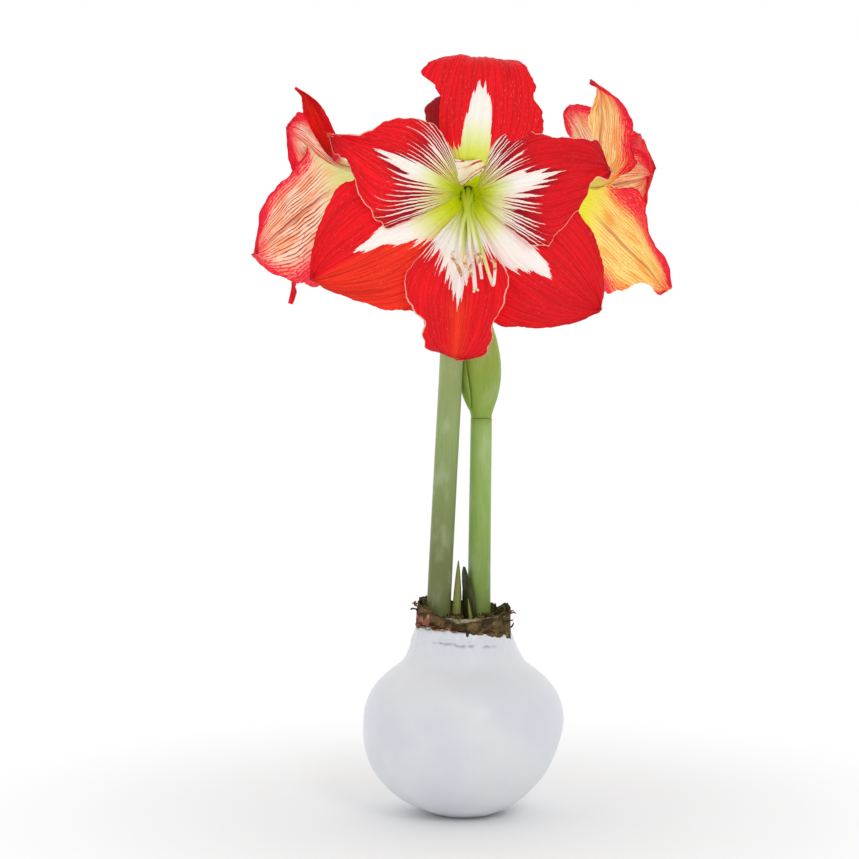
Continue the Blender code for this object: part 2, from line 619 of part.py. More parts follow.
def stamens(bloom):
    """The six pollen stalks with their anthers and the style, grown together at their foot."""
    cream = material("filament_" + bloom.name, (0.80, 0.80, 0.62), 0.5)
    reach = 1.0 if bloom is FRONT_BLOOM else 0.78
    bm = bmesh.new()
    swept(bm, [Vector((0, 0, 0.0026)), Vector((0, 0, 0.0042))], [0.0023, 0.0023], 10)
    in_place(bm, bloom)
    pieces = [place("stamens", bm, cream)]
    for index, end in enumerate((*FILAMENT_ENDS, STYLE_END)):
        turn = math.tau * index / len(FILAMENT_ENDS) + 0.4
        ring = 0.0 if end is STYLE_END else 0.0016
        foot = Vector((ring * math.cos(turn), ring * math.sin(turn), 0.0032))
        tip = Vector(end) * reach
        route = [foot, Vector((foot.x * 1.4, foot.y * 1.2 - 0.0005, 0.0240 * reach)),
                 Vector((foot.x + tip.x * 0.25, tip.y * 0.30 + foot.y, 0.0450 * reach)),
                 Vector((tip.x * 0.70, tip.y * 0.80, tip.z - 0.0050 * reach)), tip]
        path = smooth_path(route, 2)
        bm = bmesh.new()
        swept(bm, path, [FILAMENT_RADIUS] * len(path), 4)
        in_place(bm, bloom)
        pieces.append(place("filament", bm, cream))
        if end is STYLE_END:
            continue
        bm = bmesh.new()
        droop = Vector((0.0, -1.0, 0.25)).normalized() * ANTHER_LENGTH
        anther_path = [tip + droop * (share - 0.30) for share in (0.0, 0.3, 0.7, 1.0)]
        swept(bm, anther_path, [0.0006, 0.0012, 0.0012, 0.0005], 5)
        in_place(bm, bloom)
        pieces.append(place("anther", bm, cream))
    return fuse(bloom.name.replace("bloom", "stamens"), pieces)


def build():
    """Clears the scene and makes every piece of the plant."""
    for leftover in list(bpy.data.objects):
        bpy.data.objects.remove(leftover)
    wax_coat()
    bulb()
    bloom_scape()
    bud_scape()
    bud()
    young_leaf("leaf_tip_tall", TALL_LEAF_FOOT, 0.0317, 0.0024, (-0.0030, -0.0040), (0.26, 0.28, 0.07))
    young_leaf("leaf_tip_back", BACK_LEAF_FOOT, 0.0305, 0.0022, (-0.0026, 0.0042), (0.10, 0.14, 0.05))
    young_leaf("leaf_tip_short", SHORT_LEAF_FOOT, 0.012, 0.0021, (0.0022, -0.0056), (0.28, 0.34, 0.10), False)
    leaf_sheath()
    withered_bract("spathe_bract_left", 205, 0.0175, 0.0440)
    withered_bract("spathe_bract_back", 55, 0.0160, 0.0400)
    for bloom in BLOOMS:
        bloom_solid(bloom)
        stamens(bloom)


build()
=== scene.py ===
"""The looks of a waxed amaryllis bulb in flower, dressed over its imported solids.

Metres, +Z up, the flat spot of the wax at the origin. The front bloom faces -Y, where the camera stands.
"""

from math import atan2, cos, exp, hypot, pi, radians, sin, sqrt, tan, tau
from typing import NamedTuple

import bmesh
import bpy
from mathutils import Matrix, Vector, noise


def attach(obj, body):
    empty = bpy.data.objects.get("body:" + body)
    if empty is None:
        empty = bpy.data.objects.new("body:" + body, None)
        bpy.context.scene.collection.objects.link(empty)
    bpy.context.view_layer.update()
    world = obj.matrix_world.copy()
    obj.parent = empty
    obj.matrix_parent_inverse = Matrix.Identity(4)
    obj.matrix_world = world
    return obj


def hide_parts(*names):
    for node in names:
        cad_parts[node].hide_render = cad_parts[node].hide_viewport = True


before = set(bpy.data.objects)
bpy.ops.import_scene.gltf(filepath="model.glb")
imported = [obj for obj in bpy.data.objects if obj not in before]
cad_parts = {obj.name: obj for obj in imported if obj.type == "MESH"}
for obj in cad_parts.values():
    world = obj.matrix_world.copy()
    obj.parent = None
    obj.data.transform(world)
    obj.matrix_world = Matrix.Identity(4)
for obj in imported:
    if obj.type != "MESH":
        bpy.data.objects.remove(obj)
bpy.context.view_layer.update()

# The dipped bulb.
BELLY_RADIUS = 0.053
BELLY_HEIGHT = 0.048
SHOULDER_HEIGHT = 0.040
FOOT_RADIUS = 0.0145
NECK_RADIUS = 0.0250
NECK_SPREAD = 0.40
LIP_HEIGHT = 0.0972
WAX_WALL = 0.0024
BELLY_LEAN = 0.0018
LEDGE_HEIGHT = 0.0947
# Cracks in the wax under its lip: degrees round the neck, height, and rise to the side.
WAX_CRACKS = (
    (267, 0.0920, -0.8), (271, 0.0921, 0.9), (293, 0.0946, 0.7), (297, 0.0930, 1.3), (240, 0.0925, 0.3),
)

# The papery collar of old scales.
COLLAR_RADIUS = 0.0248
COLLAR_HEIGHT = 0.1100
NECK_FLOOR = 0.1030
NECK_FLOOR_RADIUS = 0.0190
SCALE_FOOT = NECK_FLOOR - 0.004

# The stalks.
SCAPE_RADIUS = 0.0064
SCAPE_ROOT = 0.0840
BLOOM_SCAPE = (
    (-0.0134, -0.0020), (-0.0132, -0.0020, 0.1080), (-0.0098, -0.0015, 0.1770), (-0.0064, -0.0005, 0.2440),
    (-0.0050, 0.0, 0.2985),
)
BUD_SCAPE = ((0.0081, 0.0040), (0.0081, 0.0040, 0.1080), (0.0084, 0.0045, 0.1440), (0.0092, 0.0062, 0.2084))
UMBEL_TOP = Vector((-0.0050, 0.0, 0.3010))
BRACT_SEAT = Vector((-0.0051, 0.0, 0.2930))
PEDICEL_RADIUS = 0.0034
OVARY_RADIUS = 0.0058
OVARY_LENGTH = 0.015
BUD_LENGTH = 0.0625
BUD_RADIUS = 0.0097
BUD_FLATNESS = 0.86

# Young leaves.
TALL_LEAF_FOOT = (-0.0040, -0.0040)
BACK_LEAF_FOOT = (-0.0032, 0.0034)
SHORT_LEAF_FOOT = (0.0040, -0.0062)

# Petals and stamens.
PETAL_THICKNESS = 0.0007
PETAL_ROWS = 88
PETAL_COLUMNS = 46
PETAL_ROOT = 0.06
MIDRIB_STEPS = 240
MIDDLE_STEP = 150
FOLD_WIDTH = 0.0100
TUBE_LENGTH = 0.014
TUBE_WALL = 0.0014
TUBE_RADIUS = 0.0042
TUBE_LEAN = 7
THIN_SHEET = 0.0003

# The camera: its focal length and the photograph's width in the photograph's pixels, and where it stands.
FOCAL_PIXELS = 2877.6
PHOTO_WIDTH = 859
SENSOR_WIDTH = 36
CAMERA_PLACE = (-0.018, -1.5, 0.3328)
CAMERA_TILT = 4.94
FLOOR_RADIUS = 8.0
# Each lamp's place, size and power.
LAMPS = {"key": ((0.45, -1.15, 0.95), 0.35, 2.6), "fill": ((-1.1, -0.6, 0.9), 0.8, 0.8)}


class Petal(NamedTuple):
    """One petal: its form in degrees and metres, how its margins depart from that form, and its markings."""

    # Its place round the bloom, its length and the half-widths of its two sides, then how far it leans out
    # and how much further it curls back at its end, sways to a side and twists. Shares are of its length.
    angle: float
    length: float
    ccw: float
    cw: float
    flare: float
    recurve: float
    curl_from: float = 0.68
    sweep: float = 0.0
    twist: float = 0.0
    twist_from: float = 0.66
    # How far it is hollowed and folded, how wavy it is, and the outline from its narrow waist to its point.
    cup: float = 0.0
    wave: float = 0.0015
    phase: float = 0.0
    inner: bool = False
    point: float = 1.3
    fold: float = 0.0
    waist: float = 0.08
    # How soon it parts from its neighbours, and factors on its half-widths at some shares.
    early: float = 0.0
    opens: float = 0.020
    reach: float = 0.9
    ccw_trim: dict = {1.0: 1.0}
    cw_trim: dict = {1.0: 1.0}
    # How far the white star reaches, its form, where the red starts and is full, and the tints on it, of
    # which depth is painted shade and glow is partly painted highlight.
    star: float = 0.70
    spread: tuple = (0.23, 0.23)
    taper: float = 2.0
    drift: float = 0.0
    ccw_red: tuple = (0.36, 0.50)
    cw_red: tuple = (0.36, 0.50)
    comb: float = 0.5
    heart: float = 1.0
    depth: float = 1.0
    rim: float = 0.0
    glow: tuple = (0.0, 0.0)
    warmth: float = 0.2
    flush: float = 0.0


class Bloom(NamedTuple):
    """Where a bloom's tube starts, which way it faces, how soon its petals part, and the petals."""

    name: str
    seat: Vector
    facing: Vector
    opening: float
    petals: tuple


FRONT_BLOOM = Bloom("bloom_front", Vector((0.0012, -0.0240, 0.3257)), Vector((0, -1, 0)), 0.11, (
    Petal(84.5, 0.118, 0.029, 0.032, 80, 150, curl_from=0.60, cup=-0.15, wave=0.0007, phase=1.0, fold=-0.9,
          ccw_trim={0.38: 0.84, 0.48: 0.70, 0.56: 0.66, 0.62: 0.66, 0.67: 0.80, 0.73: 1.17, 0.78: 1.12,
                    0.84: 0.96}, cw_trim={0.5: 1.1, 0.6: 1.04, 0.66: 0.92, 0.72: 1.0, 0.8: 0.97}, star=0.73,
          spread=(0.22, 0.20), taper=3.4, drift=-0.05, ccw_red=(0.40, 0.46), cw_red=(0.36, 0.46), comb=0.6,
          heart=1.12),
    Petal(-41, 0.113, 0.031, 0.040, 84, 22, cup=-0.05, wave=0.0015, phase=2.0,
          cw_trim={0.6: 1.04, 0.7: 1.08, 0.8: 1.0}, star=0.77, spread=(0.13, 0.27), taper=1.4, drift=-0.05,
          ccw_red=(0.46, 0.56), cw_red=(0.46, 0.56), comb=0.6, heart=0.92, depth=0.92),
    Petal(208.5, 0.114, 0.040, 0.034, 84, 14, cup=-0.05, wave=0.0012, phase=0.4,
          ccw_trim={0.66: 1.0, 0.78: 0.95, 0.85: 0.84, 0.93: 0.78},
          cw_trim={0.6: 1.0, 0.7: 1.12, 0.78: 1.10, 0.84: 1.03}, star=0.82, spread=(0.17, 0.13), taper=1.6,
          drift=-0.07, ccw_red=(0.44, 0.56), cw_red=(0.46, 0.56), comb=0.6, heart=1.05, glow=(0.6, 0.0)),
    Petal(16, 0.102, 0.025, 0.033, 82, 58, sweep=-12, cup=0.10, wave=0.0014, phase=0.0, inner=True,
          point=1.5, waist=0.20,
          ccw_trim={0.36: 1.15, 0.47: 1.45, 0.55: 1.28, 0.60: 1.08, 0.66: 0.88, 0.72: 0.80, 0.80: 0.84,
                    0.88: 0.96, 0.95: 1.4},
          cw_trim={0.36: 1.2, 0.42: 1.30, 0.50: 1.38, 0.58: 1.20, 0.68: 0.92, 0.79: 0.76, 0.84: 0.60,
                   0.875: 0.32, 0.91: 0.24, 1.0: 0.8}, star=0.71, spread=(0.13, 0.22), taper=2.2, drift=0.03,
          ccw_red=(0.33, 0.56), cw_red=(0.41, 0.57), comb=1.15, depth=0.88, rim=1.0),
    Petal(265.4, 0.113, 0.026, 0.029, 84, 52, curl_from=0.82, cup=0.12, wave=0.0028, phase=2.6, inner=True,
          point=1.9, waist=0.24,
          ccw_trim={0.5: 1.05, 0.6: 1.05, 0.70: 0.93, 0.82: 0.84, 0.92: 1.10, 0.97: 1.5},
          cw_trim={0.5: 1.1, 0.62: 1.10, 0.72: 1.02, 0.79: 0.90, 0.83: 0.73, 0.91: 0.96, 0.97: 1.3},
          star=0.775, spread=(0.22, 0.34), taper=1.05, drift=-0.03, ccw_red=(0.46, 0.58),
          cw_red=(0.46, 0.58), comb=0.7, heart=0.95, rim=0.9, glow=(0.0, 0.8)),
    Petal(150, 0.107, 0.033, 0.022, 82, 45, sweep=15, cup=0.10, wave=0.0014, phase=1.7, inner=True,
          point=0.75, waist=0.20,
          ccw_trim={0.36: 1.2, 0.46: 1.35, 0.52: 1.38, 0.59: 1.14, 0.67: 1.0, 0.76: 0.98, 0.80: 0.86,
                    0.865: 0.72, 0.91: 1.0, 0.95: 1.7},
          cw_trim={0.36: 1.2, 0.42: 1.33, 0.50: 1.28, 0.55: 1.26, 0.60: 1.12, 0.69: 1.0, 0.75: 0.88,
                   0.80: 0.52, 0.84: 0.30, 0.95: 0.30}, star=0.72, spread=(0.19, 0.11), taper=2.2,
          drift=0.03, ccw_red=(0.34, 0.57), cw_red=(0.33, 0.57), comb=1.15, heart=1.06, rim=1.0),
))
LEFT_BLOOM = Bloom("bloom_left", Vector((-0.0440, 0.0060, 0.3350)), Vector((-0.990, 0.139, 0.0)), 0.04, (
    Petal(-39, 0.084, 0.032, 0.044, 58, 4, cup=0.06, wave=0.0016, phase=0.5, waist=-0.16, early=0.03,
          opens=0.010, reach=1.5, ccw_trim={0.8: 0.93, 0.88: 1.05, 0.95: 1.15},
          cw_trim={0.10: 1.0, 0.30: 1.3, 0.45: 1.3, 0.66: 1.0, 0.72: 0.92, 0.83: 0.82, 0.92: 0.76},
          warmth=0.15, flush=0.12),
    Petal(84, 0.063, 0.009, 0.0046, 66, -36, twist=80, twist_from=0.30, cup=0.10, wave=0.0012, phase=1.2,
          point=0.8, ccw_trim={0.30: 2.2, 0.58: 1.0}, cw_trim={0.30: 3.2, 0.58: 1.0}, star=-0.4,
          ccw_red=(-0.9, -0.6), cw_red=(-0.9, -0.6), glow=(0.3, 0.3), flush=2.4),
    Petal(205, 0.078, 0.028, 0.028, 62, 40, wave=0.0018, phase=2.2),
    Petal(38, 0.060, 0.026, 0.026, 60, 10, cup=0.06, wave=0.0015, phase=0.9, inner=True, warmth=0.1,
          flush=0.3),
    Petal(145, 0.066, 0.026, 0.026, 55, 12, cup=0.06, wave=0.0018, phase=3.0, inner=True),
    Petal(266, 0.088, 0.017, 0.017, 74, 0, cup=0.05, wave=0.0020, phase=1.6, inner=True, point=0.55,
          flush=1.6),
))
RIGHT_BLOOM = Bloom("bloom_right", Vector((0.0460, 0.0060, 0.3275)), Vector((0.990, 0.139, 0.0)), 0.04, (
    Petal(236, 0.079, 0.046, 0.032, 54, 4, cup=0.03, wave=0.0026, phase=0.2, waist=-0.16, early=0.12,
          opens=-0.008, reach=3.4,
          ccw_trim={0.08: 0.15, 0.17: 0.90, 0.26: 1.35, 0.45: 1.36, 0.57: 1.02, 0.66: 0.78, 0.78: 0.46,
                    0.84: 0.44, 0.91: 0.60, 1.0: 0.8},
          cw_trim={0.08: 0.15, 0.20: 0.6, 0.34: 1.0, 0.50: 1.34, 0.68: 1.20, 0.78: 1.06, 0.86: 0.98},
          warmth=1.0),
    Petal(112, 0.074, 0.030, 0.030, 92, 60, curl_from=0.76, twist=18, twist_from=0.15, cup=0.18, wave=0.0018,
          phase=1.1, cw_trim={0.35: 1.0, 0.55: 0.55, 0.72: 0.32, 0.90: 0.5}, warmth=0.75, flush=0.15),
    Petal(12, 0.084, 0.027, 0.027, 48, 6, wave=0.0018, phase=2.5, flush=2.4),
    Petal(168, 0.058, 0.022, 0.022, 50, 25, cup=0.12, wave=0.0018, phase=0.7, inner=True, warmth=0.4,
          flush=0.10),
    Petal(62, 0.062, 0.027, 0.027, 107, 20, cup=0.05, wave=0.0015, phase=1.9, inner=True, point=2.0,
          warmth=0.4, flush=0.25),
    Petal(297, 0.064, 0.028, 0.010, 80, 6, cup=0.05, wave=0.0016, phase=1.4, inner=True),
))
BLOOMS = (FRONT_BLOOM, LEFT_BLOOM, RIGHT_BLOOM)


# Finishes

def shade(colour):
    """A colour given as the eye sees it, 0 to 255, as the light values that a shader takes."""
    return (*((channel / 255) ** 2.2 for channel in colour), 1.0)


class Wire:
    """A value in a finish's nodes, so that sums on it read as sums."""

    def __init__(self, finish, socket):
        self.finish = finish
        self.socket = socket

    def maths(self, operation, *values, clamp=False):
        """A Math node on this or other values."""
        settings = {"operation": operation, "use_clamp": clamp}
        return self.finish.node("ShaderNodeMath", settings, dict(enumerate(values)))

    def __add__(self, other):
        return self.maths("ADD", self, other)

    __radd__ = __add__

    def __sub__(self, other):
        return self.maths("SUBTRACT", self, other)

    def __rsub__(self, other):
        return self.maths("SUBTRACT", other, self)

    def __mul__(self, other):
        return self.maths("MULTIPLY", self, other)

    __rmul__ = __mul__

    def __truediv__(self, other):
        return self.maths("DIVIDE", self, other)

    def __abs__(self):
        return self.maths("ABSOLUTE", self)

    def fraction(self):
        """What is left above the whole number below."""
        return self.maths("FRACT", self)

    def clamped(self):
        """The value held between 0 and 1."""
        return self.maths("ADD", self, 0.0, clamp=True)

    def between(self, low, high):
        """0 below low, 1 above high and a soft slope between them."""
        return self.finish.node("ShaderNodeMapRange", {"interpolation_type": "SMOOTHSTEP"},
                                {0: self, 1: low, 2: high, 3: 0.0, 4: 1.0})


class Finish:
    """A material, or the room round the plant, and the nodes that give it its colour, gloss and grain."""

    def __init__(self, name, fixed, room=None):
        self.material = room or bpy.data.materials.new(name)
        self.material.use_nodes = True
        self.tree = self.material.node_tree
        self.shader = self.tree.nodes["Background" if room else "Principled BSDF"]
        for socket, value in fixed.items():
            self.shader.inputs[socket].default_value = value

    def node(self, kind, settings=None, inputs=None, output=0):
        """Adds one node with its settings, then its values and links, and gives one of its outputs."""
        made = self.tree.nodes.new(kind)
        for setting, value in (settings or {}).items():
            if setting == "stops":
                self.set_stops(made.color_ramp, value)
            else:
                setattr(made, setting, value)
        for socket, value in (inputs or {}).items():
            if isinstance(value, Wire):
                self.tree.links.new(value.socket, made.inputs[socket])
            else:
                made.inputs[socket].default_value = value
        return Wire(self, made.outputs[output])

    @staticmethod
    def set_stops(ramp, stops):
        """Puts the given (position, colour) stops on a colour ramp."""
        while len(ramp.elements) < len(stops):
            ramp.elements.new(1.0)
        for element, (position, colour) in zip(ramp.elements, stops):
            element.position = position
            element.color = shade(colour)

    def give(self, socket, value):
        """Links a value to the shader's own socket."""
        self.tree.links.new(value.socket, self.shader.inputs[socket])

    def reading(self, name):
        """A value that the piece's own mesh holds at each point."""
        return self.node("ShaderNodeAttribute", {"attribute_name": name}, output="Fac")

    def place(self, scale=(1.0, 1.0, 1.0)):
        """The point on the piece in metres, stretched."""
        coordinates = self.node("ShaderNodeTexCoord", output="Object")
        return self.node("ShaderNodeMapping", None, {"Vector": coordinates, "Scale": scale})

    def axis(self, name):
        """One coordinate of the point on the piece, in metres."""
        return self.node("ShaderNodeSeparateXYZ", None, {0: self.place()}, output=name)

    def vector(self, x, y, z):
        """A point made from three values."""
        return self.node("ShaderNodeCombineXYZ", None, {0: x, 1: y, 2: z})

    def petal_noise(self, rows, columns, detail=2.0, shift=0, scale=1.0, roughness=0.5):
        """Variation that runs along and across a petal and differs from petal to petal."""
        seed = self.reading("seed")
        point = self.vector(self.reading("along") * rows, self.reading("across") * columns,
                            seed + shift if shift else seed)
        return self.noise(point, scale, detail, roughness)

    def between_lines(self, lane, wander):
        """0 on each line of a petal and 1 midway between two, for lanes that wander."""
        return abs((lane + (wander - 0.5) * 2.6).fraction() - 0.5) * 2

    def noise(self, point, scale, detail=2.0, roughness=0.5, distortion=0.0):
        """Soft cloudy variation around 0.5."""
        inputs = {"Vector": point, "Scale": scale, "Detail": detail, "Roughness": roughness,
                  "Distortion": distortion}
        return self.node("ShaderNodeTexNoise", None, inputs, output="Fac")

    def mix(self, share, first, second, blend="MIX"):
        """The first colour turning into the second as share goes from 0 to 1."""
        first, second = (shade(colour) if isinstance(colour, tuple) else colour for colour in (first, second))
        settings = {"data_type": "RGBA", "blend_type": blend}
        return self.node("ShaderNodeMix", settings, {0: share, 6: first, 7: second}, output=2)

    def ramp(self, value, *stops):
        """A colour for each value from 0 to 1, through the given (position, colour) stops."""
        return self.node("ShaderNodeValToRGB", {"stops": stops}, {0: value})

    def done(self, colour, height, depth, strength=1.0):
        """The material, with its colour, and its surface raised by height times depth as light sees it."""
        self.give("Base Color", colour)
        inputs = {"Strength": strength, "Distance": depth, "Height": height}
        self.give("Normal", self.node("ShaderNodeBump", None, inputs))
        return self.material


def petal_face():
    """The velvety inner face: red lines that run together outwards from a white star with a green heart."""
    finish = Finish("petal_face", {"Roughness": 0.5, "Specular IOR Level": 0.16, "Subsurface Weight": 0.06,
                                   "Subsurface Radius": (0.003, 0.0006, 0.0006), "Emission Strength": 0.34})
    along, across, comb = finish.reading("along"), finish.reading("across"), finish.reading("comb")
    gap = finish.between_lines(across * (12 - along * 3), finish.petal_noise(2.2, 5, detail=1.0))
    teeth = finish.petal_noise(5, 38, detail=4.0)
    cover = finish.reading("red") + (teeth - 0.5) * 1.2 + (finish.petal_noise(60, 90) - 0.5) * 0.50
    core = along / finish.reading("heart") + abs(across) * 0.05
    heart = finish.ramp(core, (0.00, (186, 200, 10)), (0.16, (202, 214, 12)), (0.29, (206, 218, 40)),
                        (0.37, (220, 228, 92)), (0.44, (238, 240, 176)), (0.51, (252, 246, 236)),
                        (1.0, (255, 248, 246)))
    streak = finish.petal_noise(3, 60, detail=3.0)
    cloud = finish.petal_noise(2.6, 1.8, scale=1.6)
    grain = finish.petal_noise(52, 84)
    heart = finish.mix(streak.between(0.52, 0.75) * along.between(0.42, 0.60) * 0.30, heart, (232, 206, 202))
    shadow = streak.between(0.48, 0.70) * (1 - along.between(0.30, 0.44)) * 0.30
    heart = finish.mix(shadow, heart, (134, 152, 20))
    heart = finish.mix(cover.between(-0.6, 0.3) * 0.22, heart, (252, 186, 176))
    red = finish.mix(cloud.between(0.35, 0.65), (252, 24, 36), (236, 20, 34))
    # Orange where glow is set: partly a tone of the petal, partly a painted highlight.
    red = finish.mix(finish.reading("glow"), red, (255, 66, 30))
    red = finish.mix(streak.between(0.45, 0.68) * 0.50, red, (180, 8, 22))
    red = finish.mix((1 - gap).between(0.55, 1.0) * 0.40, red, (172, 6, 20))
    red = finish.mix(grain.between(0.60, 0.72) * (0.30 + cloud.between(0.45, 0.7) * 0.5), red, (255, 112, 92))
    # Painted shade: the red darkens where depth is below 1.
    red = finish.mix((1 - finish.reading("depth")) * 2.2, red, (150, 6, 24))
    red = finish.mix((1 - cover.between(0.5, 1.4)) * (comb * 2 - 1.3).clamped(), red, (150, 8, 26))
    colour = finish.mix((cover - gap * comb).between(-0.05, 0.08), heart, red)
    rim = (1 - finish.reading("edge").between(0.12, 0.42)) * finish.reading("rim")
    colour = finish.mix(rim * along.between(0.40, 0.50) * 0.85, colour, (255, 206, 188))
    # Painted light: the face glows faintly with its own colour and with yellow-green towards its foot,
    # lifting the shade in the throat.
    lit_foot = finish.mix(core.between(0.10, 0.44), (196, 206, 20), (0, 0, 0))
    finish.give("Emission Color", finish.mix(0.22, lit_foot, colour, "ADD"))
    return finish.done(colour, gap * 0.6 + streak * 0.8 + cloud * 3.0, 0.0005, 1.0)


def petal_back():
    """The paler outer face: cream with a green foot, its red in lines and specks towards the margins."""
    finish = Finish("petal_back", {"Roughness": 0.55, "Specular IOR Level": 0.16, "Subsurface Weight": 0.08,
                                   "Subsurface Radius": (0.003, 0.001, 0.0008), "Emission Strength": 0.24})
    along, across, warmth = finish.reading("along"), finish.reading("across"), finish.reading("warmth")

    def by_warmth(cool, warm):
        return finish.mix(warmth, cool, warm)

    gap = finish.between_lines(across * 17, finish.petal_noise(3, 2.6, detail=3.0, shift=3))
    teeth = finish.petal_noise(6, 26, detail=4.0)
    specks = finish.petal_noise(44, 58, detail=3.0, roughness=0.6)
    blotch = finish.petal_noise(3, 4, detail=3.0, scale=1.5)
    streak = finish.petal_noise(4, 48, detail=3.0, shift=9)
    margin = abs(across).between(0.30, 0.98) + along.between(0.72, 1.02) * 0.7
    margin = margin + finish.reading("flush") * along.between(0.26, 0.50)
    cover = margin * 1.30 - (1 - along.between(0.16, 0.40)) + (teeth - 0.5) * 1.0 + (specks - 0.5) * 3.2
    cream = by_warmth((255, 222, 204), (255, 226, 130))
    cream = finish.mix(blotch.between(0.42, 0.66) * 0.8, cream, by_warmth((255, 168, 124), (250, 168, 62)))
    cream = finish.mix(along.between(0.14, 0.44), by_warmth((206, 216, 150), (232, 236, 48)), cream)
    rib = (1 - abs(across).between(0.015, 0.06)) * along.between(0.22, 0.45)
    cream = finish.mix(rib * 0.6, cream, (176, 76, 30))
    lines = (1 - gap).between(0.48, 0.80) * along.between(0.22, 0.42) * teeth.between(0.34, 0.54)
    cream = finish.mix(lines * (1 - warmth * 0.5), cream, by_warmth((140, 12, 34), (200, 84, 28)))
    dots = specks.between(0.56, 0.64) * along.between(0.3, 0.5) * 0.5
    cream = finish.mix(dots, cream, by_warmth((214, 48, 60), (222, 104, 40)))
    blush = margin.between(0.15, 1.0) * along.between(0.2, 0.45) * 0.85
    cream = finish.mix(blush, cream, by_warmth((250, 96, 104), (252, 104, 72)))
    rosy = finish.mix(blotch, (236, 24, 54), (244, 40, 66))
    rosy = finish.mix(streak.between(0.48, 0.70) * 0.5, rosy, (186, 10, 40))
    colour = finish.mix((cover - 0.46 - gap * 0.45).between(0.10, 0.40), cream, rosy)
    # Painted light: the back glows faintly with its own colour, lifting its shade.
    finish.give("Emission Color", colour)
    return finish.done(colour, gap * 0.8 + teeth * 1.2 + specks * 0.5, 0.0004, 0.9)


def white_wax():
    """Satin white candle wax, faintly clouded, with small pits and soft undulations from the dip."""
    finish = Finish("white_wax", {"Roughness": 0.36, "Subsurface Weight": 0.25, "IOR": 1.44,
                                  "Subsurface Radius": (0.006, 0.005, 0.004), "Coat Weight": 0.06})
    cloud = finish.noise(finish.place(), 26.0, detail=3.0)
    grain = finish.noise(finish.place(), 420.0, detail=2.0)
    colour = finish.mix(cloud.between(0.35, 0.68), (220, 224, 231), (229, 231, 235))
    # Painted shade: blue-grey darkening under the ledge and in the cracks, as much as the mesh's crease value
    # gives.
    colour = finish.mix(finish.reading("crease"), colour, (132, 136, 154))
    finish.give("Roughness", 0.30 + cloud * 0.14)
    return finish.done(colour, cloud * 6 + grain * 0.25, 0.0004, 0.6)


def papery_scale(name, dark, middle, light):
    """Dry bulb skin: brown with upright fibres, paler where it has flaked."""
    finish = Finish(name, {"Roughness": 0.8, "Specular IOR Level": 0.25})
    fibre = finish.noise(finish.place((1.0, 1.0, 0.35)), 520.0, detail=4.0, roughness=0.6)
    patch = finish.noise(finish.place((1.0, 1.0, 1.8)), 150.0, detail=4.0, roughness=0.65, distortion=0.8)
    colour = finish.mix(patch.between(0.40, 0.58), dark, middle)
    colour = finish.mix(fibre.between(0.50, 0.70) * patch.between(0.44, 0.62), colour, light)
    return finish.done(colour, fibre + patch * 1.6, 0.0009, 0.8)


def stalk_skin(name, foot, middle, top, low, high):
    """Smooth green stalk: its colour changes on the way up, under a thin pale bloom and faint lines."""
    finish = Finish(name, {"Roughness": 0.42, "Specular IOR Level": 0.4, "Subsurface Weight": 0.08,
                           "Subsurface Radius": (0.001, 0.003, 0.001)})
    height = (finish.axis("Z") - low) / (high - low)
    lines = finish.noise(finish.place((1.0, 1.0, 0.02)), 1400.0, detail=3.0)
    bloom = finish.noise(finish.place((1.0, 1.0, 0.5)), 130.0, detail=4.0)
    colour = finish.ramp(height, (0.0, foot), (0.16, foot), (0.5, middle), (1.0, top))
    colour = finish.mix(lines.between(0.45, 0.75) * 0.22, colour, (88, 118, 62))
    colour = finish.mix(bloom.between(0.45, 0.8) * 0.28, colour, (205, 216, 186))
    finish.give("Roughness", 0.38 + bloom * 0.2)
    return finish.done(colour, lines + bloom * 0.5, 0.0002, 0.5)


def leaf_skin(name, foot, tip, low, high):
    """A young leaf: glossier than the stalks, with fine veins along it."""
    finish = Finish(name, {"Roughness": 0.34, "Specular IOR Level": 0.45})
    height = ((finish.axis("Z") - low) / (high - low)).clamped()
    veins = finish.noise(finish.place((1.0, 1.0, 0.03)), 2400.0, detail=3.0)
    colour = finish.mix(height, foot, tip)
    colour = finish.mix(veins.between(0.45, 0.7) * 0.35, colour, (60, 78, 26))
    return finish.done(colour, veins, 0.0002, 0.6)


def cream_thread():
    """Filaments: green-cream at the foot, white to faint pink towards the anthers."""
    finish = Finish("cream_thread", {"Roughness": 0.4, "Subsurface Weight": 0.15,
                                     "Subsurface Radius": (0.001, 0.001, 0.0008)})
    along = finish.reading("along")
    grain = finish.noise(finish.place(), 1800.0)
    colour = finish.ramp(along, (0.0, (186, 200, 40)), (0.42, (206, 218, 74)), (0.60, (236, 240, 170)),
                         (0.72, (255, 246, 232)), (1.0, (255, 232, 232)))
    colour = finish.mix(grain.between(0.5, 0.8) * 0.2, colour, (240, 220, 200))
    return finish.done(colour, grain, 0.00008, 0.4)


def anther_skin():
    """Anthers: cream with tan seams and a dusting of pollen."""
    finish = Finish("anther_skin", {"Roughness": 0.75})
    dust = finish.noise(finish.place(), 3200.0, detail=3.0)
    seam = finish.noise(finish.place(), 500.0)
    colour = finish.mix(seam.between(0.35, 0.60), (250, 226, 186), (198, 132, 78))
    colour = finish.mix(dust.between(0.55, 0.75) * 0.5, colour, (252, 238, 190))
    return finish.done(colour, dust, 0.00015, 0.7)


def withered_skin():
    """Papery sheath leaves, tan and brown with dry veins."""
    finish = Finish("withered_skin", {"Roughness": 0.8})
    vein = finish.noise(finish.place((1.0, 1.0, 0.06)), 1500.0, detail=3.0)
    patch = finish.noise(finish.place(), 160.0, detail=3.0)
    colour = finish.mix(patch.between(0.35, 0.65), (140, 96, 58), (196, 156, 104))
    colour = finish.mix(vein.between(0.45, 0.7) * 0.6, colour, (92, 56, 32))
    return finish.done(colour, vein + patch, 0.0005, 0.8)


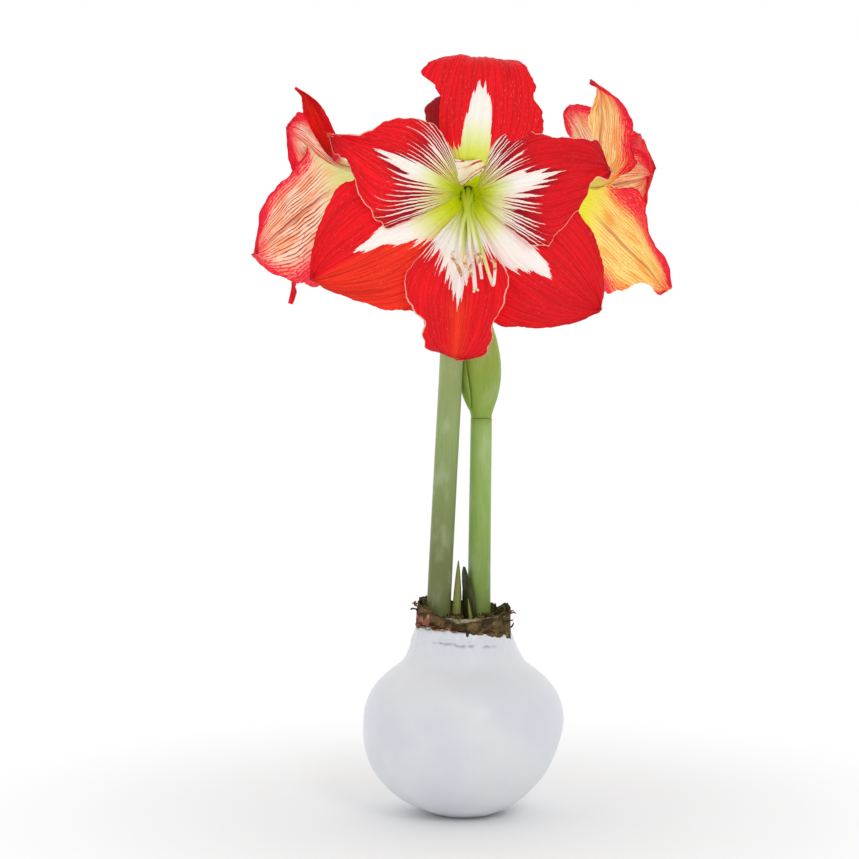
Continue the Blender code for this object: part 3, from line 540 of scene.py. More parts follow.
def white_floor():
    """A pale floor that fades into the white around it."""
    finish = Finish("white_floor", {"Roughness": 0.9, "Specular IOR Level": 0.1})
    near = finish.noise(finish.place(), 3.0)
    finish.give("Base Color", finish.mix(near * 0.2, (250, 250, 250), (246, 247, 248)))
    away = finish.node("ShaderNodeVectorMath", {"operation": "LENGTH"}, {0: finish.place()}, output="Value")
    glow = finish.node("ShaderNodeEmission", None, {"Color": (1, 1, 1, 1), "Strength": 1.0})
    body = Wire(finish, finish.shader.outputs[0])
    seen = finish.node("ShaderNodeMixShader", None, {0: away.between(0.05, 0.30), 1: body, 2: glow})
    output = finish.tree.nodes["Material Output"]
    finish.tree.links.new(seen.socket, output.inputs["Surface"])
    return finish.material


# Tools for the shapes

def ease(t):
    """0 to 1 with a soft start and a soft end."""
    t = min(max(t, 0.0), 1.0)
    return t * t * (3 - 2 * t)


def smooth_path(points, steps):
    """Points on a smooth curve through the given ones, steps to each span."""
    ends = [2 * points[0] - points[1], *points, 2 * points[-1] - points[-2]]
    path = []
    for before, start, end, after in zip(ends, ends[1:], ends[2:], ends[3:]):
        for step in range(steps):
            t = step / steps
            bend = (2 * before - 5 * start + 4 * end - after) * t * t
            path.append(0.5 * (2 * start + (end - before) * t + bend
                               + (3 * start - before - 3 * end + after) * t ** 3))
    return [*path, points[-1].copy()]


def heading(angle):
    """The level direction at an angle round the Z axis."""
    return Vector((cos(angle), sin(angle), 0))


def lift(height):
    """A step straight up."""
    return Vector((0, 0, height))


def uneven(*place):
    """Soft random variation around 0, the same each time for the same place."""
    return noise.noise(Vector(place))


def sheet(columns, rows):
    """A flat grid of faces, and its points with how far along and up the sheet each one is, 0 to 1."""
    bm = bmesh.new()
    bmesh.ops.create_grid(bm, x_segments=columns, y_segments=rows, size=0.5)
    return bm, [(vert, vert.co.x + 0.5, vert.co.y + 0.5) for vert in bm.verts]


def place_object(name, data):
    """A new object in the scene that shows the given mesh, lamp or camera."""
    made = bpy.data.objects.new(name, data)
    bpy.context.scene.collection.objects.link(made)
    return made


def mesh_object(name, bm, finishes):
    """A new object in the scene made from a bmesh, which is used up."""
    mesh = bpy.data.meshes.new(name)
    bm.to_mesh(mesh)
    bm.free()
    for finish in finishes:
        mesh.materials.append(finish)
    return place_object(name, mesh)


def put(name, bm, finishes, node, wall=0.0, recalculate=True):
    """Puts a finished bmesh into the scene in place of a node's solid, as thick as wall if it is a sheet."""
    if recalculate:
        bmesh.ops.recalc_face_normals(bm, faces=bm.faces)
    piece = mesh_object(name, bm, finishes)
    piece.data.shade_smooth()
    if wall:
        solidify = piece.modifiers.new("wall", "SOLIDIFY")
        solidify.thickness = wall
        solidify.offset = -1.0
        solidify.material_offset = len(finishes) - 1
        solidify.material_offset_rim = 0
    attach(piece, "root")
    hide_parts(node)


def turned(bm, profile, turns):
    """Spins a profile of (radius, height) pairs round Z, closed at the axis where the radius is 0."""
    points = [bm.verts.new((radius, 0.0, height)) for radius, height in profile]
    edges = [bm.edges.new(pair) for pair in zip(points, points[1:])]
    bmesh.ops.spin(bm, geom=points + edges, cent=(0, 0, 0), axis=(0, 0, 1), angle=tau, steps=turns,
                   use_merge=True)
    bmesh.ops.remove_doubles(bm, verts=bm.verts, dist=1e-6)


def swept(bm, path, radii, sides, flatness=1.0):
    """A closed bar along a path, round or flattened, whose points know how far along it they are."""
    along = bm.verts.layers.float.get("along") or bm.verts.layers.float.new("along")
    previous = None
    for index, centre in enumerate(path):
        ahead = path[min(index + 1, len(path) - 1)] - path[max(index - 1, 0)]
        turn = ahead.to_track_quat("Z", "Y").to_matrix().to_4x4()
        shape = Matrix.Diagonal((1.0, flatness, 1.0, 1.0))
        is_end = index in (0, len(path) - 1)
        ring = bmesh.ops.create_circle(bm, cap_ends=is_end, segments=sides, radius=radii[index],
                                       matrix=Matrix.Translation(centre) @ turn @ shape)["verts"]
        for vert in ring:
            vert[along] = index / (len(path) - 1)
        edges = {edge for vert in ring for edge in vert.link_edges}
        if previous:
            bmesh.ops.bridge_loops(bm, edges=list(previous | edges))
        previous = edges


# The bulb

def lip_wave(angle):
    """How far the wax's upper edge lies above its mean height: high in front and on the left."""
    wander = -0.0032 * sin(angle) - 0.0018 * cos(angle)
    return wander + 0.0006 * sin(5 * angle + 0.8) + 0.0004 * sin(9 * angle)


def collar_top(angle):
    """Height of the ragged upper edge of the papery collar."""
    sway = 0.0022 * cos(2 * angle) + 0.0020 * sin(angle) - 0.0020 * cos(angle)
    return COLLAR_HEIGHT - 0.0008 + sway + 0.0008 * sin(5 * angle + 1.0)


def dip_radius(height, inset):
    """Radius of the dipped bulb at a height, with the surface set in by inset."""
    if height < BELLY_HEIGHT:
        drop = BELLY_HEIGHT / sqrt(1 - (FOOT_RADIUS / BELLY_RADIUS) ** 2)
        reach = (BELLY_HEIGHT - height) / (drop - inset)
        return (BELLY_RADIUS - inset) * sqrt(max(0.0, 1 - reach * reach))
    reach = (height - BELLY_HEIGHT) / (SHOULDER_HEIGHT - inset)
    belly = (BELLY_RADIUS - inset) * sqrt(max(0.0, 1 - reach * reach))
    neck = NECK_RADIUS - inset + NECK_SPREAD * (LIP_HEIGHT - height)
    blend = 0.003 * ease((height - BELLY_HEIGHT) / 0.02)
    return (belly + neck + hypot(belly - neck, blend)) / 2


def dip_outline(inset, rows_below, rows_above):
    """(radius, height) pairs of the dipped bulb from its foot to its lip."""
    base = inset * 1.08
    below = [base + (BELLY_HEIGHT - base) * (1 - cos(pi / 2 * row / rows_below))
             for row in range(rows_below)]
    above = [BELLY_HEIGHT + (LIP_HEIGHT - BELLY_HEIGHT) * row / rows_above for row in range(rows_above + 1)]
    return [(dip_radius(height, inset), height) for height in below + above]


def settle(point):
    """Leans the belly a little to the left and lets the upper edges wander."""
    angle = atan2(point.y, point.x)
    rise = ease((point.z - (LIP_HEIGHT - 0.012)) / 0.012)
    lean = BELLY_LEAN * sin(pi * min(max(point.z / BELLY_HEIGHT, 0.0), 1.0))
    if hypot(point.x, point.y) > NECK_RADIUS / 2 and point.z < LIP_HEIGHT + 0.002:
        point.z += lip_wave(angle) * rise
    point.x -= lean


def dipped(point):
    """Gives a point of the wax the unevenness that the dip left, and tells how much painted shade it gets
    under the ledge and in the cracks.
    """
    angle = atan2(point.y, point.x)
    outward = Vector((point.x, point.y, 0)).normalized()
    dents = 0.0008 * noise.noise(point * 38) * ease(point.z / 0.010)
    dents += 0.0007 * noise.noise(point * 110) * (1 - ease((point.z - 0.006) / 0.020)) * ease(point.z / 0.002)
    level = LEDGE_HEIGHT + 0.0009 * sin(2 * angle + 0.6) + 0.0012 * noise.noise(outward * 7)
    front = ease((-sin(angle) - 0.74) / 0.14) * ease(0.9 + 1.6 * noise.noise(outward * 11))
    above, below = point.z - level, level - 0.0013 - point.z
    under = exp(-(below / 0.0006) ** 2)
    ledge = front * (0.0009 * exp(-(above / 0.0008) ** 2) - 0.0009 * under)
    cracks = 0.0
    for turn, height, rise in WAX_CRACKS:
        aside = (angle - radians(turn)) * NECK_RADIUS
        run = point.z - height - aside * rise
        cracks += exp(-(run / 0.0006) ** 2) * (1 - ease((abs(aside) - 0.0018) / 0.0012))
    ripple = 0.0007 * uneven(outward.x * 9, outward.y * 9, point.z * 240)
    near_lip = ease((point.z - (LIP_HEIGHT - 0.012)) / 0.008)
    point += outward * (dents + ledge + ripple * near_lip - 0.0007 * min(cracks, 1.0))
    return min(1.0, 0.5 * front * under + 0.9 * cracks)


def wax_coat():
    """The wax shell, open at its neck with a rounded lip and flat under its foot."""
    outside = [(0.0, 0.0), (FOOT_RADIUS * 0.5, 0.0), *dip_outline(0.0, 40, 130)]
    inside = [(0.0, WAX_WALL * 1.08), *dip_outline(WAX_WALL, 10, 14)]
    outer, inner = outside.pop()[0], inside.pop()[0]
    middle, half = (outer + inner) / 2, (outer - inner) / 2
    lip = [(middle + half * cos(turn), LIP_HEIGHT - half * 0.6 + half * 0.6 * sin(turn))
           for turn in (pi * step / 8 for step in range(9))]
    bm = bmesh.new()
    turned(bm, [*outside, *lip, *reversed(inside)], 300)
    # Each outer point's share of painted shade, under the ledge and in the cracks.
    crease = bm.verts.layers.float.new("crease")
    for vert in bm.verts:
        is_outside = hypot(vert.co.x, vert.co.y) > dip_radius(max(vert.co.z, 0.0), WAX_WALL * 0.6)
        settle(vert.co)
        if is_outside and vert.co.z > 0.0005:
            vert[crease] = dipped(vert.co)
    put("wax_coat_skin", bm, [white_wax()], "wax_coat")


def bulb_body(brown):
    """The bulb's own body inside the wax, closed on top by the torn inner scales."""
    inset = WAX_WALL + 0.0005
    rings = 16
    profile = [(0.0, inset * 1.08), *dip_outline(inset, 8, 12)[:-1],
               (NECK_RADIUS - inset, LIP_HEIGHT + 0.0004), (COLLAR_RADIUS - 0.0014, LIP_HEIGHT + 0.003),
               (COLLAR_RADIUS - 0.0020, NECK_FLOOR - 0.0008),
               *((NECK_FLOOR_RADIUS * (1 - ring / rings), NECK_FLOOR - 0.0010) for ring in range(rings + 1))]
    bm = bmesh.new()
    turned(bm, profile, 96)
    for vert in bm.verts:
        radius = hypot(vert.co.x, vert.co.y)
        if vert.co.z > NECK_FLOOR - 0.0011:
            ridges = 0.0007 * sin(radius * 2600 + 2 * noise.noise(vert.co * 150))
            vert.co.z += ridges + 0.0004 * noise.noise(vert.co * 160)
        settle(vert.co)
    put("bulb_body", bm, [brown], "bulb")


def scale_sheet(name, finish, radius, start, sweep, foot, top_of, ragged, seed, centre=(0.0, 0.0)):
    """One thin old scale that wraps the neck, or a stalk's foot, from start through a sweep in degrees."""
    bm, points = sheet(max(24, round(sweep / 360 * 190)), 12)
    for vert, along, up in points:
        angle = radians(start) + radians(sweep) * along
        out = heading(angle)
        shift = lift(seed)
        tear = noise.noise(out * 4 + shift) + 0.35 * noise.noise(out * 15 + shift)
        bottom = foot + lip_wave(angle)
        height = bottom + (top_of(angle) + ragged * tear - bottom) * up
        wrinkle = 0.0005 * uneven(angle * 7, height * 60, seed)
        wrinkle += 0.00025 * uneven(angle * 26, height * 90, seed + 4)
        flare = 0.0012 * up * up * noise.noise(out * 5 + lift(seed + 9)) - 0.0010 * up
        vert.co = Vector((*centre, height)) + out * (radius + wrinkle * (0.4 + up) + flare)
    put(name, bm, [finish], "bulb", wall=THIN_SHEET)


def flake(name, finish, angle, height, width, length, curl, tilt, seed):
    """A loose curled flake of bulb skin that stands off the collar."""
    bm, points = sheet(10, 8)
    out = heading(angle)
    side = Vector((-out.y, out.x, 0))
    base = out * (COLLAR_RADIUS - 0.0006) + lift(height)
    for vert, up, aside in points:
        across = 2 * aside - 1
        lean = tilt + curl * up
        rise = length / curl * (sin(lean) - sin(tilt))
        stand = length / curl * (cos(tilt) - cos(lean))
        narrow = width / 2 * (1 - 0.55 * up * up)
        rough = uneven(up * 3, across * 2, seed)
        bulge = across * across * narrow * 0.35 + rough * 0.0005
        vert.co = base + lift(rise) + out * (stand + bulge)
        vert.co += side * (across * narrow * (1 + 0.3 * rough))
    put(name, bm, [finish], "bulb", wall=THIN_SHEET)


def collar():
    """The ragged collar: several old scales inside each other, with copper flakes peeling off them."""
    brown = papery_scale("papery_brown", (58, 46, 26), (98, 80, 48), (140, 116, 74))
    inner = papery_scale("papery_olive", (66, 60, 30), (116, 106, 62), (168, 158, 108))
    copper = papery_scale("papery_copper", (92, 48, 34), (152, 92, 68), (226, 178, 148))
    pale = papery_scale("papery_pale", (120, 116, 84), (182, 178, 146), (226, 226, 204))
    dark = papery_scale("papery_dark", (36, 28, 16), (62, 50, 28), (96, 78, 46))
    bulb_body(brown)
    # Each scale: name, finish, how far it stands off the collar's radius, its start and sweep in degrees, its
    # foot, how far its top lies below the collar's, how ragged it is, and its seed.
    for name, finish, off, begin, sweep, foot, lower, ragged, seed in (
        ("outer", brown, 0.0001, 0, 360, LIP_HEIGHT + 0.0006, 0.0, 0.0016, 1.0),
        ("left", copper, 0.0005, 158, 66, LIP_HEIGHT + 0.0007, 0.0034, 0.0030, 5.0),
        ("front", brown, 0.0009, 272, 72, LIP_HEIGHT - 0.0022, -0.0002, 0.0016, 8.0),
        ("second", inner, -0.0020, -30, 250, SCALE_FOOT, 0.0008, 0.0020, 12.0),
    ):
        scale_sheet(f"scale_{name}", finish, COLLAR_RADIUS + off, begin, sweep, foot,
                    lambda angle: collar_top(angle) - lower, ragged, seed)
    # The inner ones end on one level, a little above the torn middle.
    for name, finish, off, begin, sweep, above, seed in (
        ("third", pale, -0.0040, 170, 190, 0.0030, 17.0), ("fourth", inner, -0.0062, 190, 170, 0.0026, 23.0),
        ("fifth", brown, -0.0084, 180, 190, 0.0022, 29.0),
    ):
        scale_sheet(f"scale_{name}", finish, COLLAR_RADIUS + off, begin, sweep, SCALE_FOOT,
                    lambda angle: NECK_FLOOR + above, 0.0014, seed)
    feet = (("left", BLOOM_SCAPE[0], 0.0), ("right", BUD_SCAPE[0], 0.0), ("leaf", TALL_LEAF_FOOT, 0.0034))
    for index, (side, foot, slimmer) in enumerate(feet):
        for ring, finish in enumerate((brown, inner, dark)):
            scale_sheet(f"ring_{side}_{ring}", finish, SCAPE_RADIUS - slimmer + 0.0007 + 0.0008 * ring,
                        150 + 40 * ring, 250, SCALE_FOOT, lambda angle: NECK_FLOOR + 0.0036 - 0.0011 * ring,
                        0.0010, 31.0 + 7 * ring + index, centre=foot)
    # Each flake: degrees round the collar, height, width, length, curl, tilt and finish.
    flakes = (
        (186, 0.1085, 0.0050, 0.0040, 1.5, 0.8, copper), (197, 0.1105, 0.0050, 0.0040, -1.2, 1.2, copper),
        (206, 0.1020, 0.0050, 0.0036, 1.8, 0.9, copper), (176, 0.1110, 0.0040, 0.0030, 1.2, 0.9, brown),
        (214, 0.1008, 0.0050, 0.0026, 2.0, 0.7, pale), (222, 0.1002, 0.0040, 0.0022, 1.6, 0.9, pale),
        (236, 0.1008, 0.0060, 0.0028, 2.0, 0.7, copper), (245, 0.1004, 0.0040, 0.0026, 2.3, 0.5, pale),
        (250, 0.1000, 0.0050, 0.0024, -1.6, 1.0, copper), (258, 0.1004, 0.0040, 0.0022, 1.8, 0.8, copper),
        (230, 0.1014, 0.0050, 0.0030, 1.2, 0.6, copper), (352, 0.1068, 0.0050, 0.0034, 1.6, 0.8, copper),
        (344, 0.1076, 0.0040, 0.0030, 1.0, 0.6, copper), (4, 0.0985, 0.0030, 0.0030, -1.0, 1.2, brown),
        (338, 0.1030, 0.0060, 0.0030, 1.3, 0.6, brown), (320, 0.0980, 0.0050, 0.0030, 1.0, 0.8, dark),
        (300, 0.0990, 0.0060, 0.0026, 1.4, 0.5, dark), (60, 0.1080, 0.0060, 0.0050, 1.4, 1.0, copper),
        (110, 0.1085, 0.0060, 0.0050, -1.3, 1.3, brown), (140, 0.1075, 0.0050, 0.0050, 1.7, 0.8, copper),
        (84, 0.1000, 0.0070, 0.0030, 1.6, 0.7, pale), (30, 0.1000, 0.0060, 0.0030, 1.6, 0.7, copper),
    )
    for index, (degrees, *form, finish) in enumerate(flakes):
        flake(f"flake_{index}", finish, radians(degrees), *form, index * 3.7)


# Stalks, bud and leaves

def stalk_path(route, steps):
    """A stalk's centre line from its root in the bulb up through the route's points."""
    foot, *rest = route
    return smooth_path([Vector((*foot, SCAPE_ROOT)), *(Vector(point) for point in rest)], steps)


def bloom_scape():
    """The taller stalk with the short branch and the three-lobed seed case under each bloom."""
    green = stalk_skin("stalk_green", (112, 120, 70), (146, 168, 104), (166, 190, 124), 0.100, 0.300)
    bm = bmesh.new()
    path = stalk_path(BLOOM_SCAPE, 12)
    radii = [SCAPE_RADIUS * (1.0 - 0.06 * index / len(path)) for index in range(len(path))]
    path += [UMBEL_TOP - lift(0.0008), UMBEL_TOP]
    radii += [SCAPE_RADIUS * 0.86, SCAPE_RADIUS * 0.6]
    swept(bm, path, radii, 40)
    put("scape_in_bloom_skin", bm, [green], "scape_in_bloom")
    branch = stalk_skin("branch_green", (150, 172, 92), (164, 186, 104), (190, 200, 120), 0.297, 0.345)
    for bloom in BLOOMS:
        out = bloom.facing.normalized()
        seat = bloom.seat
        case_start = seat - out * OVARY_LENGTH
        start = UMBEL_TOP + lift(-0.004)
        rising = start.lerp(case_start, 0.35) + lift(0.008)
        path = smooth_path([start, rising, case_start - out * 0.003, case_start], 8)
        radii = [PEDICEL_RADIUS] * len(path)
        steps = 12
        for step in range(1, steps + 1):
            share = step / steps
            swell = sin(pi * min(share * 0.86 + 0.06, 1.0)) ** 0.7
            path.append(case_start.lerp(seat, share))
            radii.append(PEDICEL_RADIUS + (OVARY_RADIUS - PEDICEL_RADIUS) * swell)
        bm = bmesh.new()
        swept(bm, path, radii, 30)
        for vert in bm.verts:
            past = (vert.co - case_start).dot(out)
            if 0.0002 < past < OVARY_LENGTH:
                arm = vert.co - case_start - out * past
                turn = atan2(arm.dot(out.cross(lift(1))), arm.z)
                lobes = 0.10 * cos(3 * turn) * sin(pi * past / OVARY_LENGTH)
                vert.co += arm * lobes
        put(bloom.name.replace("bloom", "branch"), bm, [branch], "scape_in_bloom")


def bud_scape():
    """The shorter stalk that carries the closed bud."""
    green = stalk_skin("stalk_green_young", (126, 152, 72), (140, 172, 84), (152, 186, 98), 0.100, 0.209)
    bm = bmesh.new()
    path = stalk_path(BUD_SCAPE, 12)
    radii = [SCAPE_RADIUS * (0.99 - 0.12 * index / len(path)) for index in range(len(path))]
    swept(bm, path, radii, 40)
    put("scape_with_bud_skin", bm, [green], "scape_with_bud")


def bud_radius(share):
    """Half-width of the bud at a share of its length from its base."""
    swell = sin(pi * share ** 0.78) ** 0.9 if 0 < share < 1 else 0.0
    return max(hypot(BUD_RADIUS * swell, 0.0054 * (1 - share) ** 2), 0.0007)


def bud():
    """The pointed bud: one sheath leaf laps over the other along a raised pale edge."""
    green = stalk_skin("bud_green", (140, 172, 66), (152, 182, 76), (176, 198, 112), 0.205, 0.272)
    foot = Vector(BUD_SCAPE[-1])
    rows = 60
    path = [foot + Vector((0.0004, 0.0, BUD_LENGTH)) * (row / rows) for row in range(rows + 1)]
    bm = bmesh.new()
    swept(bm, path, [bud_radius(row / rows) for row in range(rows + 1)], 72, flatness=BUD_FLATNESS)
    for vert in bm.verts:
        arm = Vector((vert.co.x - foot.x, vert.co.y - foot.y, 0))
        share = (vert.co.z - foot.z) / BUD_LENGTH
        turn = atan2(arm.y, arm.x) + 0.5 * share
        lap = 0.045 * exp(-((turn + 0.9) / 0.07) ** 2) + 0.035 * ease((turn + 0.9) / 0.05)
        vert.co += arm * lap * ease(share / 0.2) * ease((1 - share) / 0.15)
    put("bud_skin", bm, [green], "bud")
    bm, points = sheet(22, 8)
    for vert, share, aside in points:
        height = 0.07 + 0.44 * share
        half = 0.36 * sin(pi * share ** 0.8) ** 0.8 + 0.01
        turn = radians(214) + half * (2 * aside - 1)
        radius = bud_radius(height) * (1.05 + 0.10 * sin(pi * share)) + 0.0002
        out = heading(turn) * radius
        vert.co = foot + Vector((out.x, out.y * BUD_FLATNESS, height * BUD_LENGTH))
    put("bud_valve", bm, [green], "bud", wall=0.0005)


def young_leaf(name, foot, height, half_width, tip, finish):
    """A narrow pointed leaf, keeled on its back and hollowed along its face."""
    start = Vector((*foot, NECK_FLOOR - 0.002))
    end = Vector((*tip, NECK_FLOOR + height))
    rows = 40
    path, radii = [], []
    for row in range(rows + 1):
        share = row / rows
        path.append(start.lerp(end, share))
        radii.append(half_width * max(0.06, (1 - share ** 1.7) ** 0.8) * (0.85 + 0.15 * ease(share * 4)))
    bm = bmesh.new()
    swept(bm, path, radii, 28, flatness=0.42)
    for vert in bm.verts:
        share = (vert.co.z - start.z) / (end.z - start.z)
        across = (vert.co.x - start.lerp(end, share).x) / half_width
        vert.co.y += half_width * 0.30 * (abs(across) - 0.5)
    put(name + "_skin", bm, [finish], name)


def leaf_sheath(finish):
    """The thin clasping sheath leaf that hugs the left side of the second stalk."""
    centre = Vector((*BUD_SCAPE[0], 0.0))
    bm, points = sheet(36, 20)
    for vert, share, aside in points:
        height = NECK_FLOOR + 0.0278 * share
        spread = radians(52) * (1 - share ** 1.5) ** 0.75 + radians(3)
        angle = radians(208) + spread * (2 * aside - 1)
        radius = SCAPE_RADIUS + 0.0015 + 0.0007 * share + 0.0003 * noise.noise(vert.co * 5)
        vert.co = centre + heading(angle) * radius + lift(height)
    put("leaf_sheath_skin", bm, [finish], "leaf_sheath", wall=0.0006)


def withered_bract(name, angle, reach, drop, finish):
    """One of the two papery sheath leaves that wrapped the buds, now hanging from the stalk's top."""
    turn = radians(angle)
    outward = heading(turn)
    sideways = Vector((-outward.y, outward.x, 0))
    clear = SCAPE_RADIUS + 0.0003
    # Each point of its middle line: how far out, and how far up.
    places = ((clear, 0.0), (clear + 0.0040, 0.0030), (reach * 0.85, -0.0060), (reach, -drop * 0.6),
              (reach * 0.86, -drop))
    rows = 48
    line = smooth_path([BRACT_SEAT + outward * out + lift(rise) for out, rise in places], rows // 4)
    bm, points = sheet(rows, 14)
    for vert, share, aside in points:
        across = 2 * aside - 1
        half = 0.0055 * (1 - share ** 2.2) ** 0.8 + 0.0004
        curl = across * across * half * 0.45
        crease = 0.0005 * sin(9 * across + 5 * share)
        crease += 0.0006 * uneven(share * 9, across * 3, turn)
        vert.co = line[round(share * rows)] + sideways * across * half - outward * (curl + crease)
        vert.co += lift(0.0009 * sin(9 * share + 2 * across))
    put(name + "_skin", bm, [finish], name, wall=0.0005)


# Blooms

def flower_frame(bloom):
    """Right, up and outward directions of a bloom, as seen from in front of it."""
    out = bloom.facing.normalized()
    up = (lift(1) - out * out.z).normalized()
    return up.cross(out), up, out


def in_place(bm, bloom):
    """Turns a shape made in a bloom's own frame to the bloom's place on the plant."""
    turn = Matrix(flower_frame(bloom)).transposed().to_4x4()
    bmesh.ops.transform(bm, matrix=Matrix.Translation(bloom.seat) @ turn, verts=bm.verts)


def midrib(petal, opening):
    """Points down the middle of a petal with its side and inner directions, in its bloom's frame."""
    radial = heading(radians(petal.angle))
    lateral = Vector((-radial.y, radial.x, 0))
    axis = lift(1)
    later = 0.0046 if petal.inner else 0.0
    radius = TUBE_RADIUS - (0.0013 if petal.inner else 0.0008)
    point = radial * radius + axis * 0.003
    stations = []
    for step in range(MIDRIB_STEPS + 1):
        run = petal.length * step / MIDRIB_STEPS
        parted = (run - later) / petal.length - opening + petal.early
        lean = TUBE_LEAN + (petal.flare - TUBE_LEAN) * ease(parted / 0.43)
        curl_start = petal.curl_from * petal.length
        lean += petal.recurve * ease((run - curl_start) / (petal.length - curl_start) / 1.15)
        swing = radians(petal.sweep) * ease((step / MIDRIB_STEPS - 0.35) / 0.65)
        roll = radians(petal.twist) * ease((step / MIDRIB_STEPS - petal.twist_from) / 0.30)
        lean = radians(lean)
        ahead = axis * cos(lean) + radial * sin(lean)
        inward = axis * sin(lean) - radial * cos(lean)
        along = ahead * cos(swing) + lateral * sin(swing)
        side = lateral * cos(swing) - ahead * sin(swing)
        stations.append((point.copy(), side * cos(roll) + inward * sin(roll),
                         inward * cos(roll) - side * sin(roll)))
        point += along * (petal.length / MIDRIB_STEPS)
    return stations


def trimmed(trims, share):
    """The factor at a share of the length, running softly between those that trims give."""
    table = list(trims.items())
    if share <= table[0][0]:
        return table[0][1]
    for (start, first), (end, last) in zip(table, table[1:]):
        if share <= end:
            return first + (last - first) * ease((share - start) / (end - start))
    return table[-1][1]


def half_width(petal, share, across, girth):
    """Half-width of a petal on the side that across points to, and the half-width its veins spread over."""
    rise = 0.09 + 0.91 * ease((share - petal.waist) / 0.50)
    fall = max(0.0, 1 - max(0.0, (share - 0.48) / 0.52) ** 2.4) ** (1 / petal.point)
    plain = (petal.ccw if across > 0 else petal.cw) * rise * fall
    full = plain * trimmed(petal.ccw_trim if across > 0 else petal.cw_trim, share)
    return max(min(full, girth), 0.0004), max(plain * 1.12, 0.0030)


def ragged(petal, share, across):
    """The factor by which a petal's margin swings out and in at a share of its length."""
    place = Vector((share * 14, 5.0 if across > 0 else 0.0, petal.phase))
    fine = Vector((share * 52, place.y, petal.phase))
    return 1 + ease((share - 0.36) / 0.1) * (0.026 * noise.noise(place) + 0.022 * noise.noise(fine))


def petal_point(petal, stations, share, across):
    """A point of the petal's inner face, the half-width there, and which vein it lies on, -1 to 1."""
    centre, side, inward = stations[round(share * (len(stations) - 1))]
    girth = hypot(centre.x, centre.y) + 0.0004
    opened = ease((share * petal.length - petal.opens) / (0.040 if petal.inner else 0.028))
    half, plain = half_width(petal, share, across, girth * (1.02 + petal.reach * opened))
    width = half * across * ragged(petal, share, across)
    full = max(petal.ccw, petal.cw)
    cup = petal.cup + (petal.fold * (1 - ease((share - 0.45) / 0.3)) if across > 0 else 0.0)
    bend = (1 - opened) / girth + opened * cup / full
    if abs(bend) < 1e-4:
        bend = 1e-4
    edge = abs(across) ** 2.5 * ease((share - 0.36) / 0.20)
    ripple = petal.wave * sin(tau * 2.3 * share + petal.phase + (1.9 if across > 0 else 0.0)) * edge
    pleat = 0.00020 * ease((share - 0.42) / 0.2) * (1 - across * across)
    ripple += pleat * sin(29 * across + 3 * uneven(share * 4, across * 2, petal.phase))
    frill = abs(across) ** 6 * ease((share - 0.40) / 0.2)
    ripple += 0.0012 * frill * uneven(share * 19, 3.0 if across > 0 else 0.0, petal.phase)
    wander = uneven(share * 7, across * 2.5, petal.phase * 4)
    ripple += 0.0010 * wander * ease((share - 0.3) / 0.3)
    rib = -0.0003 * exp(-(across / 0.06) ** 2) * ease((share - 0.2) / 0.2)
    place = centre + side * (sin(bend * width) / bend)
    return place + inward * ((1 - cos(bend * width)) / bend + ripple + rib), half, width / plain


def redness(petal, share, across):
    """Below 0 in a petal's white star, and rising past 1 where its red is solid."""
    aside = across - petal.drift
    start, full = petal.ccw_red if aside > 0 else petal.cw_red
    bell = exp(-(abs(aside) / petal.spread[0 if aside > 0 else 1]) ** petal.taper)
    start += (petal.star - 0.05 - start) * bell
    full += (petal.star + 0.03 - full) * bell
    value = max(-2.0, min((share - start) / (full - start), 3.0))
    return value ** 0.8 if 0 < value < 1 else value


def orange_tone_and_highlight(petal, share, across):
    """How far the red turns to orange, over the ccw half or down the middle: partly a tone of the petal,
    partly a painted highlight.
    """
    side, middle = petal.glow
    band = exp(-(across / 0.22) ** 2) * ease((share - 0.66) / 0.12)
    return side * ease(across / 0.06 + 0.5) + middle * band


# What each point of a petal knows, with the value where a piece gives none: its place, its redness, its
# distance from the margin in mm, and the markings of its petal, with depth as painted shade and glow partly
# as painted highlight.
MARKS = {"along": 0.0, "across": 0.0, "red": 0.0, "edge": 3.0, "seed": 3.0, "rim": 0.0, "depth": 1.0,
         "warmth": 0.0, "comb": 0.8, "heart": 1.0, "glow": 0.0, "flush": 0.0}


def write_marks(bm, rows):
    """Stores the given marks with each point of the mesh."""
    layers = {name: bm.verts.layers.float.new(name) for name in MARKS}
    for vert, given in zip(bm.verts, rows):
        for name, value in (MARKS | given).items():
            vert[layers[name]] = value


def petal(bloom, index, finishes):
    """One petal as a thin sheet, whose points know where on the petal they are."""
    form = bloom.petals[index]
    stations = midrib(form, bloom.opening)
    own = {name: getattr(form, name) for name in ("rim", "depth", "warmth", "comb", "heart", "flush")}
    bm, points = sheet(PETAL_ROWS, PETAL_COLUMNS)
    rows = []
    for vert, run, aside in points:
        share = PETAL_ROOT + (1 - PETAL_ROOT) * (1 - (1 - run) ** 1.15)
        across = 2 * aside - 1
        vert.co, half, lane = petal_point(form, stations, share, across)
        rows.append({"along": share, "across": lane, "red": redness(form, share, lane),
                     "edge": (1 - abs(across)) * half * 1000, "seed": form.phase * 5 + index,
                     "glow": orange_tone_and_highlight(form, share, across), **own})
    write_marks(bm, rows)
    centre, _, inward = stations[MIDDLE_STEP]
    middle = min(bm.faces, key=lambda face: (face.calc_center_median() - centre).length)
    bmesh.ops.recalc_face_normals(bm, faces=bm.faces)
    if middle.normal.dot(inward) < 0:
        bmesh.ops.reverse_faces(bm, faces=bm.faces)
    in_place(bm, bloom)
    put(f"{bloom.name}_petal_{index}", bm, finishes, bloom.name, wall=PETAL_THICKNESS,
        recalculate=False)


